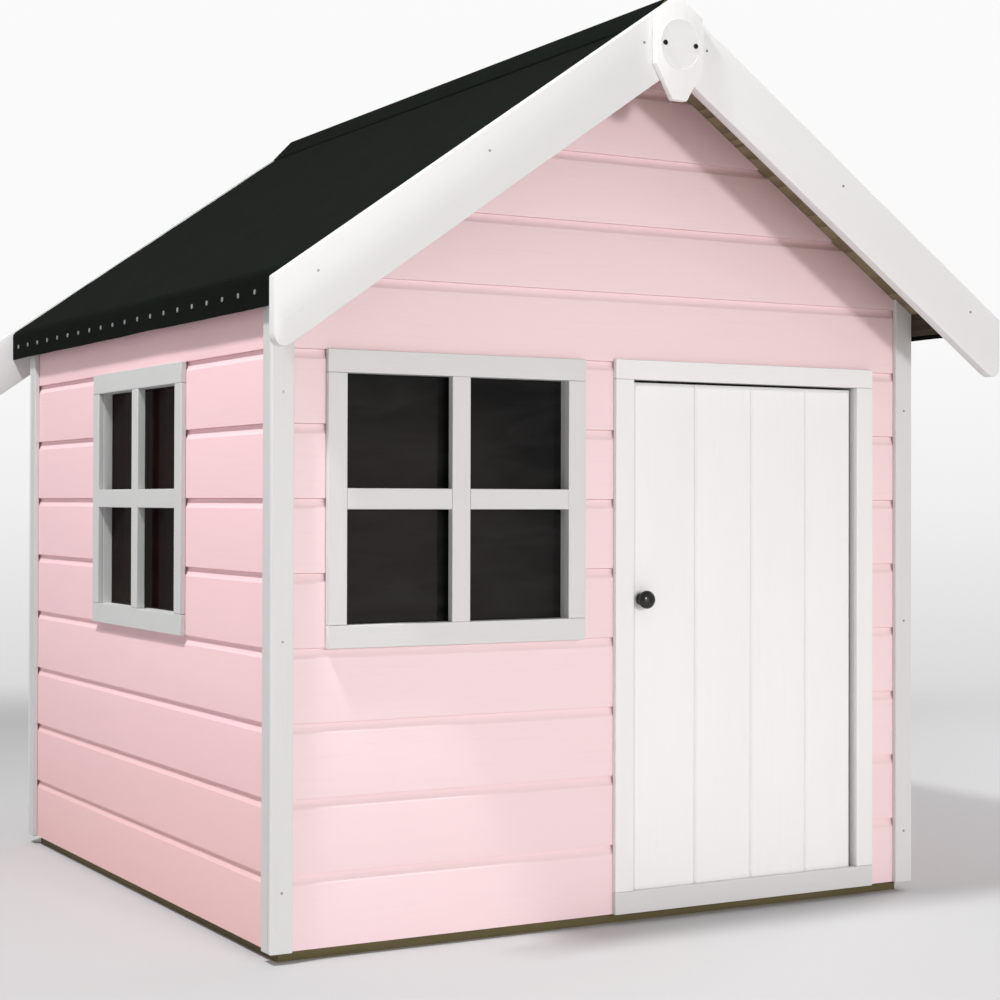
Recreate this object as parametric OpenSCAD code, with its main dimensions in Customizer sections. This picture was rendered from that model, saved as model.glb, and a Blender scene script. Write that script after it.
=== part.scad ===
// Timber playhouse with a pitched felt roof, two four-pane windows and one
// ledged door that swings inwards. The front faces -Y, +Z is up, and the origin
// is on the ground at the middle of the whole outline. All sizes are in mm.

/* [House] */
// Width of the house over its corner strips
house_w = 1224; // [1205:1:1600]
// Depth of the house over its corner strips
house_d = 1234; // [900:1:1800]
// Height of the cladding's lower edge above the ground
base_lift = 16; // [8:1:24]
// Rows of boards from the bottom of the wall to the heads of door and windows
head_rows = 8; // [7:1:10]
// Height of the eave's lower edge above the heads of door and windows
eave_above_head = 59; // [50:1:120]

/* [Wall boards] */
// Height that each wall board shows
board_pitch = 112; // [90:1:135]
// Thickness of a wall board
clad_t = 12; // [10:0.5:20]
// Height of the cove along each board's top edge
cove_h = 15; // [8:1:25]
// Depth of the cove along each board's top edge
cove_d = 5; // [2:0.5:5]
// Height of the tongue that stands behind the next board
lap_h = 8; // [5:1:12]

/* [Framing and floor] */
// Depth of a wall frame timber, measured through the wall
frame_t = 20; // [18:1:45]
// Face width of a wall frame timber
frame_w = 34; // [25:1:45]
// Height of a floor bearer
bearer_h = 28; // [24:1:60]
// Width of a floor bearer
bearer_w = 34; // [25:1:60]
// Thickness of a floor board
floor_t = 12; // [10:1:25]
// Greatest width of a floor board
floor_board_w = 115; // [80:1:160]

/* [Trim] */
// Thickness of corner strips, window trims and door trims
trim_t = 9; // [6:0.5:16]
// Width of a corner strip as seen from the front
corner_w = 36; // [25:1:60]

/* [Windows] */
// Width of a window over its trims
win_w = 454; // [350:1:465]
// Rows of boards that a window takes up
win_rows = 4; // [3:1:5]
// Distance that the trims above and below a window lap past those boards
win_trim_lap = 1; // [0:0.5:4]
// Width of the trims at a window's sides
win_trim_w = 32; // [25:1:45]
// Height of the trims above and below a window
win_trim_h = 35; // [25:1:50]
// Face width of the glazing bars
bar_w = 32; // [15:1:45]
// Thickness of the glazing bars
bar_t = 14; // [8:1:16]
// Thickness of the acrylic pane
pane_t = 3; // [2:0.5:4]
// Distance from the left corner strip to the front window's trim
win_from_corner = 55; // [40:1:75]
// Distance from the middle of the side wall forwards to the side window's middle
side_win_offset = 12; // [-100:1:150]

/* [Door] */
// Clear width between the door jambs
door_open_w = 463; // [380:1:475]
// Distance from the right corner strip to the door's trim
door_from_corner = 52.5; // [30:0.5:60]
// Width of the trims at the door's sides
door_trim_w = 35; // [25:1:45]
// Height of the trim across the bottom of the door
door_foot_trim_h = 36; // [30:1:60]
// Height of the trim across the top of the door
door_head_trim_h = 32; // [28:1:60]
// Gap between the door leaf and its jambs
door_gap = 4; // [3:0.5:8]
// Depth of the leaf's face behind the cladding's face
door_recess = 2; // [1:0.5:4]
// Thickness of the leaf's upright boards
door_board_t = 12; // [10:1:18]
// Width of the leaf's first board, at the knob
door_first_board = 125; // [90:1:140]
// Face width of the leaf's other boards
door_board_pitch = 115; // [90:1:140]
// Height of each ledge across the back of the leaf
ledge_h = 70; // [50:1:100]
// Diameter of the door knob
knob_d = 30; // [24:1:36]
// Distance that the knob stands out from the leaf
knob_reach = 27; // [20:1:40]
// Height of the knob's middle above the ground
knob_z = 525; // [400:1:620]

/* [Hinges] */
// Outside diameter of a hinge barrel
barrel_d = 9; // [8:0.5:12]
// Diameter of a hinge pin
pin_d = 4; // [3:0.5:5]
// Length of a hinge barrel
barrel_l = 60; // [40:1:90]
// Length of the strap on the leaf
strap_l = 150; // [80:1:220]
// Thickness of the hinge plates
hinge_t = 1.5; // [1:0.1:2.5]

/* [Roof] */
// Slope of the roof in degrees
roof_pitch = 35; // [25:1:45]
// Distance that the roof stands out beyond the front corner strips
front_overhang = 134; // [60:1:250]
// Distance that the roof stands out beyond the rear corner strips
rear_overhang = 80; // [40:1:200]
// Distance that the felt stands out beyond the side corner strips
eave_overhang = 12; // [10:1:40]
// Height of the felt's turned-down face, up to the line of the slope
eave_face_h = 53; // [40:1:80]
// Thickness of the roof boards
deck_t = 9; // [8:1:20]
// Greatest width of a roof board
deck_board_w = 115; // [80:1:160]
// Thickness of the roofing felt
felt_t = 3; // [2:0.5:4]
// Radius of the bend where the felt turns down, on the boards
eave_bend_r = 14; // [4:1:15]
// Half of the width that the ridge felt covers
ridge_half_w = 50; // [40:1:90]
// Height of the ridge felt above the line of the slopes
ridge_rise = 13; // [8:1:25]

/* [Barge boards and finials] */
// Thickness of a barge board
barge_t = 20; // [12:1:30]
// Height of a barge board, measured upright
barge_h = 113; // [80:1:160]
// Height of a front barge board's top edge above the felt
barge_rise = 11; // [8:1:30]
// Height of a rear barge board's top edge above the felt
rear_barge_rise = 5; // [3:1:30]
// Distance that a barge board runs out beyond the corner strips
barge_run = 63; // [40:1:120]
// Radius of a barge board's lower corner
barge_corner_r = 18; // [5:1:40]
// Thickness of a finial plate
finial_t = 12; // [8:1:20]
// Width of a finial plate
finial_w = 89; // [60:1:130]
// Length of the upright sides of a finial plate
finial_side = 78; // [50:1:120]
// Height of the tapered foot of a finial plate
finial_taper = 55; // [20:1:90]
// Width of a finial plate's foot
finial_foot_w = 27; // [10:1:50]
// Width of the oval plaque
plaque_w = 74; // [40:1:80]
// Height of the oval plaque
plaque_h = 80; // [40:1:90]
// Height of the plaque's middle above the plate's shoulders
plaque_up = 32; // [20:1:50]

/* [Fasteners] */
// Spacing of the clout nails along each eave
nail_gap = 65; // [40:1:120]
// Diameter of a clout nail's head
nail_d = 8; // [5:0.5:12]
// Diameter of a panel pin's head
panel_pin_d = 4; // [2:0.5:6]
// Diameter of a finial screw's head
finial_screw_d = 8; // [5:0.5:12]

/* [Hidden] */

// Smoothness of round parts
round_fn = 48;
// Hairline between timbers that meet end to face
joint_gap = 0.2;
// Gap between neighbouring boards
board_gap = 0.5;
// Hairline between the layers of the roof
layer_gap = 0.05;
// How far the felt's turned-down edge hangs below the eave battens
felt_drip = 8;

// What stands in front of the front finial
plaque_t = 1.2;
finial_screw_h = 1.6;

// Main planes. The cladding's outer faces stand in from the corner strips.
roof_front_run = trim_t + front_overhang;
roof_rear_run = trim_t + rear_overhang;
clad_d = house_d - 2 * trim_t;
outline_front = roof_front_run + barge_t + finial_t + plaque_t + finial_screw_h;
outline_rear = roof_rear_run + barge_t + finial_t;
front_y = outline_front - (clad_d + outline_front + outline_rear) / 2;
rear_y = front_y + clad_d;
side_mid_y = (front_y + rear_y) / 2;
clad_x = house_w / 2 - trim_t;
wall_t = clad_t + frame_t;
inner_x = clad_x - clad_t;
clad_half_d = clad_d / 2;

// Main heights
floor_z = bearer_h + floor_t;
head_z = base_lift + head_rows * board_pitch;
eave_z = head_z + eave_above_head;

// Roof lines: heights at a distance x from the middle of the house
slope = tan(roof_pitch);
felt_v = felt_t / cos(roof_pitch);
deck_v = deck_t / cos(roof_pitch);
felt_x = house_w / 2 + eave_overhang;
deck_x = felt_x - felt_t;
ridge_z = eave_z + eave_face_h + felt_x * slope;
function felt_top(x) = ridge_z - x * slope;
function deck_top(x) = felt_top(x) - felt_v;
function roof_under(x) = deck_top(x) - deck_v;
roof_front_y = front_y - roof_front_run;
roof_rear_y = rear_y + roof_rear_run;
roof_l = roof_rear_y - roof_front_y;
gable_rows = ceil((roof_under(0) - base_lift) / board_pitch);
side_rows = ceil((roof_under(inner_x) - base_lift) / board_pitch);

// Points down the right-hand slope: s along it and h under the roof boards' top
function slope_point(s, h) =
  [s * cos(roof_pitch) - h * sin(roof_pitch),
   deck_top(0) - s * sin(roof_pitch) - h * cos(roof_pitch)];
function plumb_s(x, h) = (x + h * sin(roof_pitch)) / cos(roof_pitch);
bend_centre = slope_point(plumb_s(deck_x - eave_bend_r, eave_bend_r), eave_bend_r);
function arc(c, r, a0, a1, n) =
  [for (i = [0:n]) c + r * [cos(a0 + (a1 - a0) * i / n), sin(a0 + (a1 - a0) * i / n)]];
bend_steps = 5;

// Windows: the lining fills the hole in the boards, and the trims cover its face
win_hole_h = win_rows * board_pitch;
win_low_row = head_rows - win_rows;
win_hole_z = base_lift + win_low_row * board_pitch;
win_mid_z = win_hole_z + win_hole_h / 2;
win_h = win_hole_h + 2 * win_trim_lap;
front_win_offset = house_w / 2 - corner_w - win_from_corner - win_w / 2;
win_open_w = win_w - 2 * win_trim_w;
win_open_h = win_h - 2 * win_trim_h;
win_lining_t = 22;
win_hole_w = win_open_w + 2 * win_lining_t;
pane_rebate = 3;
pane_set_back = 17;
pane_clear = 0.5;
bead_w = 8;
bead_t = 9;

// Door: the jambs fill the hole in the boards
jamb_t = 22;
door_head_lap = 4;
door_offset = house_w / 2 - corner_w - door_from_corner - door_trim_w - door_open_w / 2;
door_hole_w = door_open_w + 2 * jamb_t;
door_top_z = head_z + door_head_lap - door_head_trim_h;
door_foot_z = base_lift + door_foot_trim_h;
leaf_w = door_open_w - 2 * door_gap;
leaf_stop_lap = 6;
leaf_z = door_foot_z - leaf_stop_lap;
leaf_top_z = door_top_z - door_gap;
leaf_left = door_offset - leaf_w / 2;
leaf_right = leaf_left + leaf_w;
leaf_bevel = 6;
board_vee = 3;
ledge_t = wall_t - door_recess - door_board_t;
ledge_inset = 4;
ledge_edge_gap = 70;
low_ledge_z = leaf_z + ledge_edge_gap;
top_ledge_z = leaf_top_z - ledge_edge_gap - ledge_h;
knob_ledge_z = knob_z - ledge_h / 2;
knob_x = leaf_left + knob_d / 2 + 1.5;
knob_screw_r = 2;
knob_screw_bite = 12;

// Hinges: the pins stand just inside the room, over the gap at the leaf's edge
hinge_x = leaf_right + door_gap / 2;
barrel_r = barrel_d / 2;
barrel_lift = 0.3;
hinge_y = front_y + wall_t + barrel_r + barrel_lift;
hinge_clear = 0.7;
running_clear = 0.05;
knuckle_gap = 0.3;
plate_l = 30;
strap_h = 30;
hinge_screw_d = 7;
hinge_screw_h = 1.8;
hinge_heights = [low_ledge_z + ledge_h / 2, top_ledge_z + ledge_h / 2];

// Barge boards and finials
barge_x = house_w / 2 + barge_run;
function barge_top(x, rise) = felt_top(x) + rise;
function barge_low(x, rise) = barge_top(x, rise) - barge_h;
plaque_z = barge_top(finial_w / 2, barge_rise) - finial_side + plaque_up;
finial_screw_x = 28.5;

pink = [0.95, 0.80, 0.83];
white = [0.93, 0.93, 0.93];
raw_timber = [0.62, 0.50, 0.34];
treated_timber = [0.38, 0.34, 0.20];
felt_colour = [0.10, 0.12, 0.11];
zinc = [0.70, 0.71, 0.72];
black = [0.06, 0.06, 0.06];

// ---- Placing things on the walls ------------------------------------------
// On a wall, x runs along it, y goes inwards from the cladding's outer face.

module on_front() {
  translate([0, front_y, 0]) children();
}

module on_rear() {
  translate([0, rear_y, 0]) rotate([0, 0, 180]) children();
}

module on_left() {
  translate([-clad_x, side_mid_y, 0]) rotate([0, 0, -90]) children();
}

module on_right() {
  translate([clad_x, side_mid_y, 0]) rotate([0, 0, 90]) children();
}

// A box from one corner to the other
module block(low, high) {
  translate(low) cube(high - low);
}

// A section drawn in x and z, run along y from one place to another
module along_y(y0, y1) {
  translate([0, y1, 0]) rotate([90, 0, 0]) linear_extrude(y1 - y0) children();
}

// A section drawn in y and z, run along x from one place to another
module along_x(x0, x1) {
  translate([x0, 0, 0]) rotate([90, 0, 90]) linear_extrude(x1 - x0) children();
}

// Everything under the roof boards
module under_roof(y0, y1) {
  along_y(y0, y1)
    polygon([[-deck_x, 0], [deck_x, 0], [deck_x, roof_under(deck_x)],
             [0, roof_under(0)], [-deck_x, roof_under(deck_x)]]);
}

// ---- Floor ----------------------------------------------------------------

module floor_rims() {
  color(treated_timber)
    for (y = [front_y + clad_t, rear_y - clad_t - bearer_w])
      block([-inner_x, y, 0], [inner_x, y + bearer_w, bearer_h]);
}

module floor_bearers() {
  bearers = 4;
  first_x = -inner_x + bearer_w / 2;
  step = (2 * inner_x - bearer_w) / (bearers - 1);
  end_in = clad_t + bearer_w + joint_gap;
  color(treated_timber)
    for (i = [0:bearers - 1])
      block([first_x + i * step - bearer_w / 2, front_y + end_in, 0],
            [first_x + i * step + bearer_w / 2, rear_y - end_in, bearer_h]);
}

module floor_boards() {
  floor_l = clad_d - 2 * clad_t;
  boards = ceil(floor_l / floor_board_w);
  pitch = floor_l / boards;
  color(raw_timber)
    for (i = [0:boards - 1])
      block([-inner_x, front_y + clad_t + i * pitch + board_gap / 2, bearer_h],
            [inner_x, front_y + clad_t + (i + 1) * pitch - board_gap / 2, floor_z]);
}

// ---- Wall frames ----------------------------------------------------------

// A frame timber given by its place on the wall
module timber(x0, x1, z0, z1) {
  block([x0, clad_t, z0], [x1, wall_t, z1]);
}

rail_z = floor_z + frame_w;
rafter_v = frame_w / cos(roof_pitch);
function rafter_under(x) = roof_under(x) - rafter_v - joint_gap;

// The gable over the head rail: two rafters, a king post and two short studs
module gable_timbers() {
  half = frame_w / 2;
  foot = inner_x - frame_w;
  for (side = [0, 1]) mirror([side, 0, 0]) along_y(clad_t, wall_t) {
    polygon([[half + joint_gap, roof_under(half + joint_gap)], [inner_x, roof_under(inner_x)],
             [inner_x, roof_under(inner_x) - rafter_v],
             [half + joint_gap, roof_under(half + joint_gap) - rafter_v]]);
    polygon([[foot, head_z + frame_w + joint_gap], [inner_x, head_z + frame_w + joint_gap],
             [inner_x, rafter_under(inner_x)], [foot, rafter_under(foot)]]);
  }
  along_y(clad_t, wall_t)
    polygon([[-half, head_z + frame_w + joint_gap], [half, head_z + frame_w + joint_gap],
             [half, roof_under(half)], [0, roof_under(0)], [-half, roof_under(half)]]);
}

// Studs that stand between a bottom rail and the rail over them
module studs(places, z1) {
  for (x = places) timber(x, x + frame_w, rail_z + joint_gap, z1 - joint_gap);
}

// The short timbers over and under a window, between its studs
module window_trimmers(x_mid, over) {
  x0 = x_mid - win_hole_w / 2 + joint_gap;
  x1 = x_mid + win_hole_w / 2 - joint_gap;
  timber(x0, x1, win_hole_z - frame_w, win_hole_z);
  if (over) timber(x0, x1, head_z, head_z + frame_w);
}

module front_frame() {
  door_left = door_offset - door_hole_w / 2 - frame_w;
  door_right = door_offset + door_hole_w / 2;
  win_left = -front_win_offset - win_hole_w / 2 - frame_w;
  win_right = -front_win_offset + win_hole_w / 2;
  color(raw_timber) on_front() {
    timber(-inner_x, door_left + frame_w, floor_z, rail_z);
    timber(door_right, inner_x, floor_z, rail_z);
    timber(-inner_x, inner_x, head_z, head_z + frame_w);
    studs([-inner_x, win_left, win_right, door_left, door_right, inner_x - frame_w], head_z);
    window_trimmers(-front_win_offset, false);
    gable_timbers();
  }
}

module rear_frame() {
  color(raw_timber) on_rear() {
    timber(-inner_x, inner_x, floor_z, rail_z);
    timber(-inner_x, inner_x, head_z, head_z + frame_w);
    studs([-inner_x, -frame_w / 2, inner_x - frame_w], head_z);
    gable_timbers();
  }
}

side_frame_half = clad_half_d - wall_t - joint_gap;
side_plate_z = roof_under(inner_x) - frame_w;

// The bottom rail and the wall plate of a side wall
module side_rails() {
  timber(-side_frame_half, side_frame_half, floor_z, rail_z);
  along_x(-side_frame_half, side_frame_half)
    polygon([[clad_t, side_plate_z], [wall_t, side_plate_z],
             [wall_t, roof_under(clad_x - wall_t)], [clad_t, roof_under(inner_x)]]);
}

module left_frame() {
  win_x = side_win_offset;
  color(raw_timber) on_left() {
    side_rails();
    studs([-side_frame_half, win_x - win_hole_w / 2 - frame_w, win_x + win_hole_w / 2,
           side_frame_half - frame_w], side_plate_z);
    window_trimmers(win_x, true);
  }
}

module right_frame() {
  color(raw_timber) on_right() {
    side_rails();
    studs([-side_frame_half, -frame_w / 2, side_frame_half - frame_w], side_plate_z);
  }
}

// ---- Cladding -------------------------------------------------------------

// One coved board that runs along x, with a tongue behind the board above it
module wall_board(x0, x1) {
  lip_t = cove_d + board_gap;
  cove_r = (cove_d * cove_d + cove_h * cove_h) / (2 * cove_d);
  cove_steps = 6;
  along_x(x0, x1)
    polygon(concat(
      [[0, board_gap], [lip_t, board_gap], [lip_t, lap_h + board_gap],
       [clad_t, lap_h + board_gap], [clad_t, board_pitch + lap_h],
       [lip_t + board_gap, board_pitch + lap_h], [lip_t + board_gap, board_pitch]],
      arc([cove_d - cove_r, board_pitch], cove_r, 0, -asin(cove_h / cove_r), cove_steps)));
}

// Holes are [x0, x1, first row, row above], listed from left to right
function holes_in(row, holes) = [for (h = holes) if (row >= h[2] && row < h[3]) h];
function spans(a, b, holes) =
  len(holes) == 0 ? [[a, b]] :
  [for (i = [0:len(holes)])
    [i == 0 ? a : holes[i - 1][1], i == len(holes) ? b : holes[i][0]]];

// Where a hole starts above a board, that board's tongue is cut away
module board_rows(half, rows, holes) {
  difference() {
    for (row = rows) translate([0, 0, base_lift + row * board_pitch])
      for (s = spans(-half, half, holes_in(row, holes))) wall_board(s[0], s[1]);
    for (h = holes) if (h[2] > 0)
      block([h[0], 0, base_lift + h[2] * board_pitch],
            [h[1], clad_t + 1, base_lift + h[2] * board_pitch + 2 * lap_h]);
  }
}

front_holes = [
  [-front_win_offset - win_hole_w / 2, -front_win_offset + win_hole_w / 2, win_low_row, head_rows],
  [door_offset - door_hole_w / 2, door_offset + door_hole_w / 2, 0, head_rows]
];
side_holes = [[side_win_offset - win_hole_w / 2, side_win_offset + win_hole_w / 2,
               win_low_row, head_rows]];

module front_cladding() {
  color(pink) on_front() board_rows(clad_x, [0:head_rows - 1], front_holes);
}

module gable_boards() {
  intersection() {
    board_rows(clad_x, [head_rows:gable_rows - 1], []);
    under_roof(0, clad_t);
  }
}

module front_gable_cladding() {
  color(pink) on_front() gable_boards();
}

module rear_cladding() {
  color(pink) on_rear() board_rows(clad_x, [0:head_rows - 1], []);
}

module rear_gable_cladding() {
  color(pink) on_rear() gable_boards();
}

// Side boards run between the front and rear cladding, up to the roof boards
module side_cladding(holes) {
  half = clad_half_d - clad_t;
  intersection() {
    board_rows(half, [0:side_rows - 1], holes);
    along_x(-half, half)
      polygon([[0, 0], [clad_t, 0], [clad_t, roof_under(inner_x)], [0, roof_under(clad_x)]]);
  }
}

module left_cladding() {
  color(pink) on_left() side_cladding(side_holes);
}

module right_cladding() {
  color(pink) on_right() side_cladding([]);
}

// ---- Corner strips --------------------------------------------------------

// The strips on a gable wall cover the side strips' edges. All run up to the roof.
module gable_wall_strips() {
  outer = house_w / 2;
  inner = outer - corner_w;
  for (side = [0, 1]) mirror([side, 0, 0]) along_y(-trim_t, 0)
    polygon([[inner, base_lift], [outer, base_lift], [outer, roof_under(outer)],
             [inner, roof_under(inner)]]);
}

module side_wall_strips() {
  width = corner_w - trim_t;
  for (side = [0, 1]) mirror([side, 0, 0])
    block([clad_half_d - width, -trim_t, base_lift],
          [clad_half_d, 0, roof_under(house_w / 2) - joint_gap]);
}

module front_corner_strips() {
  color(white) on_front() gable_wall_strips();
}

module rear_corner_strips() {
  color(white) on_rear() gable_wall_strips();
}

module left_corner_strips() {
  color(white) on_left() side_wall_strips();
}

module right_corner_strips() {
  color(white) on_right() side_wall_strips();
}

// ---- Windows, each drawn about its own middle -----------------------------

module at_front_window() {
  on_front() translate([-front_win_offset, 0, win_mid_z]) children();
}

module at_side_window() {
  on_left() translate([side_win_offset, 0, win_mid_z]) children();
}

// Four boards line the hole, rebated at the back for the pane
module window_lining() {
  w = win_open_w / 2;
  h = win_open_h / 2;
  difference() {
    union() {
      for (side = [-1, 1]) {
        x0 = side > 0 ? w : -w - win_lining_t;
        block([x0, 0, -win_hole_h / 2], [x0 + win_lining_t, wall_t, win_hole_h / 2]);
        z0 = side > 0 ? h : -win_hole_h / 2;
        z1 = side > 0 ? win_hole_h / 2 : -h;
        block([-w + joint_gap, 0, z0], [w - joint_gap, wall_t, z1]);
      }
    }
    block([-w - pane_rebate, pane_set_back, -h - pane_rebate],
          [w + pane_rebate, wall_t + 1, h + pane_rebate]);
  }
}

module window_pane() {
  w = win_open_w / 2 + pane_rebate - pane_clear;
  h = win_open_h / 2 + pane_rebate - pane_clear;
  block([-w, pane_set_back, -h], [w, pane_set_back + pane_t, h]);
}

module window_beads() {
  w = win_open_w / 2 + pane_rebate;
  h = win_open_h / 2 + pane_rebate;
  y0 = pane_set_back + pane_t;
  for (side = [0, 1]) {
    mirror([side, 0, 0]) block([w - bead_w, y0, -h], [w, y0 + bead_t, h]);
    mirror([0, 0, side])
      block([-w + bead_w + joint_gap, y0, h - bead_w], [w - bead_w - joint_gap, y0 + bead_t, h]);
  }
}

module window_trim_rails() {
  for (side = [0, 1]) mirror([0, 0, side])
    block([-win_w / 2, -trim_t, win_open_h / 2], [win_w / 2, 0, win_h / 2]);
}

module window_trim_stiles() {
  h = win_open_h / 2 - joint_gap;
  for (side = [0, 1]) mirror([side, 0, 0])
    block([win_open_w / 2, -trim_t, -h], [win_w / 2, 0, h]);
}

module window_bars() {
  y0 = -trim_t;
  y1 = bar_t - trim_t;
  block([-bar_w / 2, y0, -win_open_h / 2], [bar_w / 2, y1, win_open_h / 2]);
  for (side = [0, 1]) mirror([side, 0, 0])
    block([bar_w / 2 + joint_gap, y0, -bar_w / 2], [win_open_w / 2, y1, bar_w / 2]);
}

module front_window_lining() {
  color(white) at_front_window() window_lining();
}

module front_window_pane() {
  color(black, 0.6) at_front_window() window_pane();
}

module front_window_beads() {
  color(white) at_front_window() window_beads();
}

module front_window_trim_rails() {
  color(white) at_front_window() window_trim_rails();
}

module front_window_trim_stiles() {
  color(white) at_front_window() window_trim_stiles();
}

module front_window_bars() {
  color(white) at_front_window() window_bars();
}

module side_window_lining() {
  color(white) at_side_window() window_lining();
}

module side_window_pane() {
  color(black, 0.6) at_side_window() window_pane();
}

module side_window_beads() {
  color(white) at_side_window() window_beads();
}

module side_window_trim_rails() {
  color(white) at_side_window() window_trim_rails();
}

module side_window_trim_stiles() {
  color(white) at_side_window() window_trim_stiles();
}

module side_window_bars() {
  color(white) at_side_window() window_bars();
}

// ---- Door frame -----------------------------------------------------------

module door_sill() {
  color(raw_timber) on_front()
    block([door_offset - door_hole_w / 2, 0, base_lift],
          [door_offset + door_hole_w / 2, clad_t, floor_z]);
}

module door_jambs() {
  color(white) on_front() {
    for (x = [door_offset - door_hole_w / 2, door_offset + door_open_w / 2])
      block([x, 0, floor_z], [x + jamb_t, wall_t, door_top_z - joint_gap]);
    block([door_offset - door_hole_w / 2, 0, door_top_z],
          [door_offset + door_hole_w / 2, wall_t, head_z]);
  }
}

module door_trim(x0, x1, z0, z1) {
  block([door_offset + x0, -trim_t, z0], [door_offset + x1, 0, z1]);
}

door_trim_half = door_open_w / 2 + door_trim_w;

module door_trim_head() {
  color(white) on_front()
    door_trim(-door_trim_half, door_trim_half, door_top_z, door_top_z + door_head_trim_h);
}

module door_trim_sides() {
  z0 = door_foot_z + joint_gap;
  z1 = door_top_z - joint_gap;
  color(white) on_front() {
    door_trim(-door_trim_half, -door_open_w / 2, z0, z1);
    door_trim(door_open_w / 2, door_trim_half, z0, z1);
  }
}

module door_trim_foot() {
  color(white) on_front()
    door_trim(-door_trim_half, door_trim_half, base_lift, door_foot_z);
}

// ---- Door leaf ------------------------------------------------------------

// A bore for the knob's screw, through the boards and the ledge behind it
module knob_bore(r) {
  translate([knob_x, front_y - 1, knob_z]) rotate([-90, 0, 0])
    cylinder(h = wall_t + 2, r = r, $fn = round_fn);
}

// Plan of one upright board with its front edges cut back
module leaf_board_plan(x0, x1, cut_left, cut_right) {
  y0 = front_y + door_recess;
  y1 = y0 + door_board_t;
  polygon([[x0, y1], [x0, y0 + cut_left], [x0 + cut_left, y0],
           [x1 - cut_right, y0], [x1, y0 + cut_right], [x1, y1]]);
}

module door_boards() {
  boards = 1 + ceil((leaf_w - door_first_board) / door_board_pitch);
  y0 = front_y + door_recess;
  color(white) difference() {
    intersection() {
      for (i = [0:boards - 1]) {
        x0 = i == 0 ? leaf_left : leaf_left + door_first_board + (i - 1) * door_board_pitch;
        x1 = i == boards - 1 ? leaf_right : leaf_left + door_first_board + i * door_board_pitch;
        translate([0, 0, leaf_z]) linear_extrude(leaf_top_z - leaf_z)
          leaf_board_plan(x0 + (i == 0 ? 0 : board_gap / 2), x1 - (i == boards - 1 ? 0 : board_gap / 2),
                          i == 0 ? leaf_bevel : board_vee, i == boards - 1 ? leaf_bevel : board_vee);
      }
      along_x(leaf_left - 1, leaf_right + 1)
        polygon([[y0 - 1, leaf_z - 1], [y0 + door_board_t + 1, leaf_z - 1],
                 [y0 + door_board_t + 1, leaf_top_z + 1], [y0 + leaf_bevel + 1, leaf_top_z + 1],
                 [y0 - 1, leaf_top_z - leaf_bevel - 1]]);
    }
    knob_bore(knob_screw_r);
  }
}

module door_ledges() {
  y0 = front_y + door_recess + door_board_t;
  color(raw_timber) difference() {
    for (z = [low_ledge_z, knob_ledge_z, top_ledge_z])
      block([leaf_left + ledge_inset, y0, z], [leaf_right - ledge_inset, front_y + wall_t, z + ledge_h]);
    knob_bore(knob_screw_r);
  }
}

// A turned knob on a neck, with a blind bore for its screw
module door_knob() {
  r = knob_d / 2;
  neck_r = r / 2;
  foot_r = 2 * r / 3;
  foot_l = 3;
  neck_l = 2 * knob_reach / 5;
  color(black) translate([knob_x, front_y + door_recess, knob_z]) rotate([90, 0, 0]) difference() {
    rotate_extrude($fn = 2 * round_fn)
      polygon(concat(
        [[0, 0], [foot_r, 0], [foot_r, foot_l], [neck_r, foot_l + 1], [neck_r, neck_l]],
        arc([r - 5, neck_l + 5], 5, -50, 60, 7),
        [[r - 7, knob_reach - 1.2], [0, knob_reach]]));
    translate([0, 0, -1]) cylinder(h = knob_screw_bite + 1, r = knob_screw_r, $fn = round_fn);
  }
}

module door_knob_screw() {
  shank = wall_t - door_recess + knob_screw_bite;
  color(zinc) translate([knob_x, front_y + wall_t, knob_z]) rotate([90, 0, 0]) {
    cylinder(h = shank, r = knob_screw_r, $fn = round_fn);
    translate([0, 0, -hinge_screw_h]) cylinder(h = hinge_screw_h, r = hinge_screw_d / 2, $fn = round_fn);
  }
}

// ---- Hinges ---------------------------------------------------------------

knuckle_l = barrel_l / 3;

module knuckle(z0, z1, toward) {
  translate([0, 0, z0]) cylinder(h = z1 - z0, r = barrel_r, $fn = round_fn);
  reach = barrel_r + hinge_clear + 0.5;
  y0 = -barrel_r - barrel_lift;
  block([toward > 0 ? 0 : -reach, y0, z0], [toward > 0 ? reach : 0, y0 + hinge_t, z1]);
}

module pin_bore(r) {
  translate([0, 0, -barrel_l]) cylinder(h = 2 * barrel_l, r = r, $fn = round_fn);
}

module at_hinges() {
  for (z = hinge_heights) translate([hinge_x, hinge_y, z]) children();
}

// The fixed plates on the jamb, each with a knuckle at both ends
module door_hinge_plates() {
  y0 = -barrel_r - barrel_lift;
  color(zinc) at_hinges() difference() {
    union() {
      block([barrel_r + hinge_clear, y0, -barrel_l / 2], [plate_l, y0 + hinge_t, barrel_l / 2]);
      knuckle(-barrel_l / 2, -knuckle_l / 2 - knuckle_gap, 1);
      knuckle(knuckle_l / 2 + knuckle_gap, barrel_l / 2, 1);
    }
    pin_bore(pin_d / 2);
  }
}

// The straps on the leaf, each with the middle knuckle
module door_hinge_straps() {
  y0 = -barrel_r - barrel_lift;
  tip_h = strap_h / 2;
  color(zinc) at_hinges() difference() {
    union() {
      along_y(y0, y0 + hinge_t)
        polygon([[-barrel_r - hinge_clear, -strap_h / 2], [-barrel_r - hinge_clear, strap_h / 2],
                 [-strap_l, tip_h / 2], [-strap_l, -tip_h / 2]]);
      knuckle(-knuckle_l / 2, knuckle_l / 2, -1);
    }
    pin_bore(pin_d / 2 + running_clear);
  }
}

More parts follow.
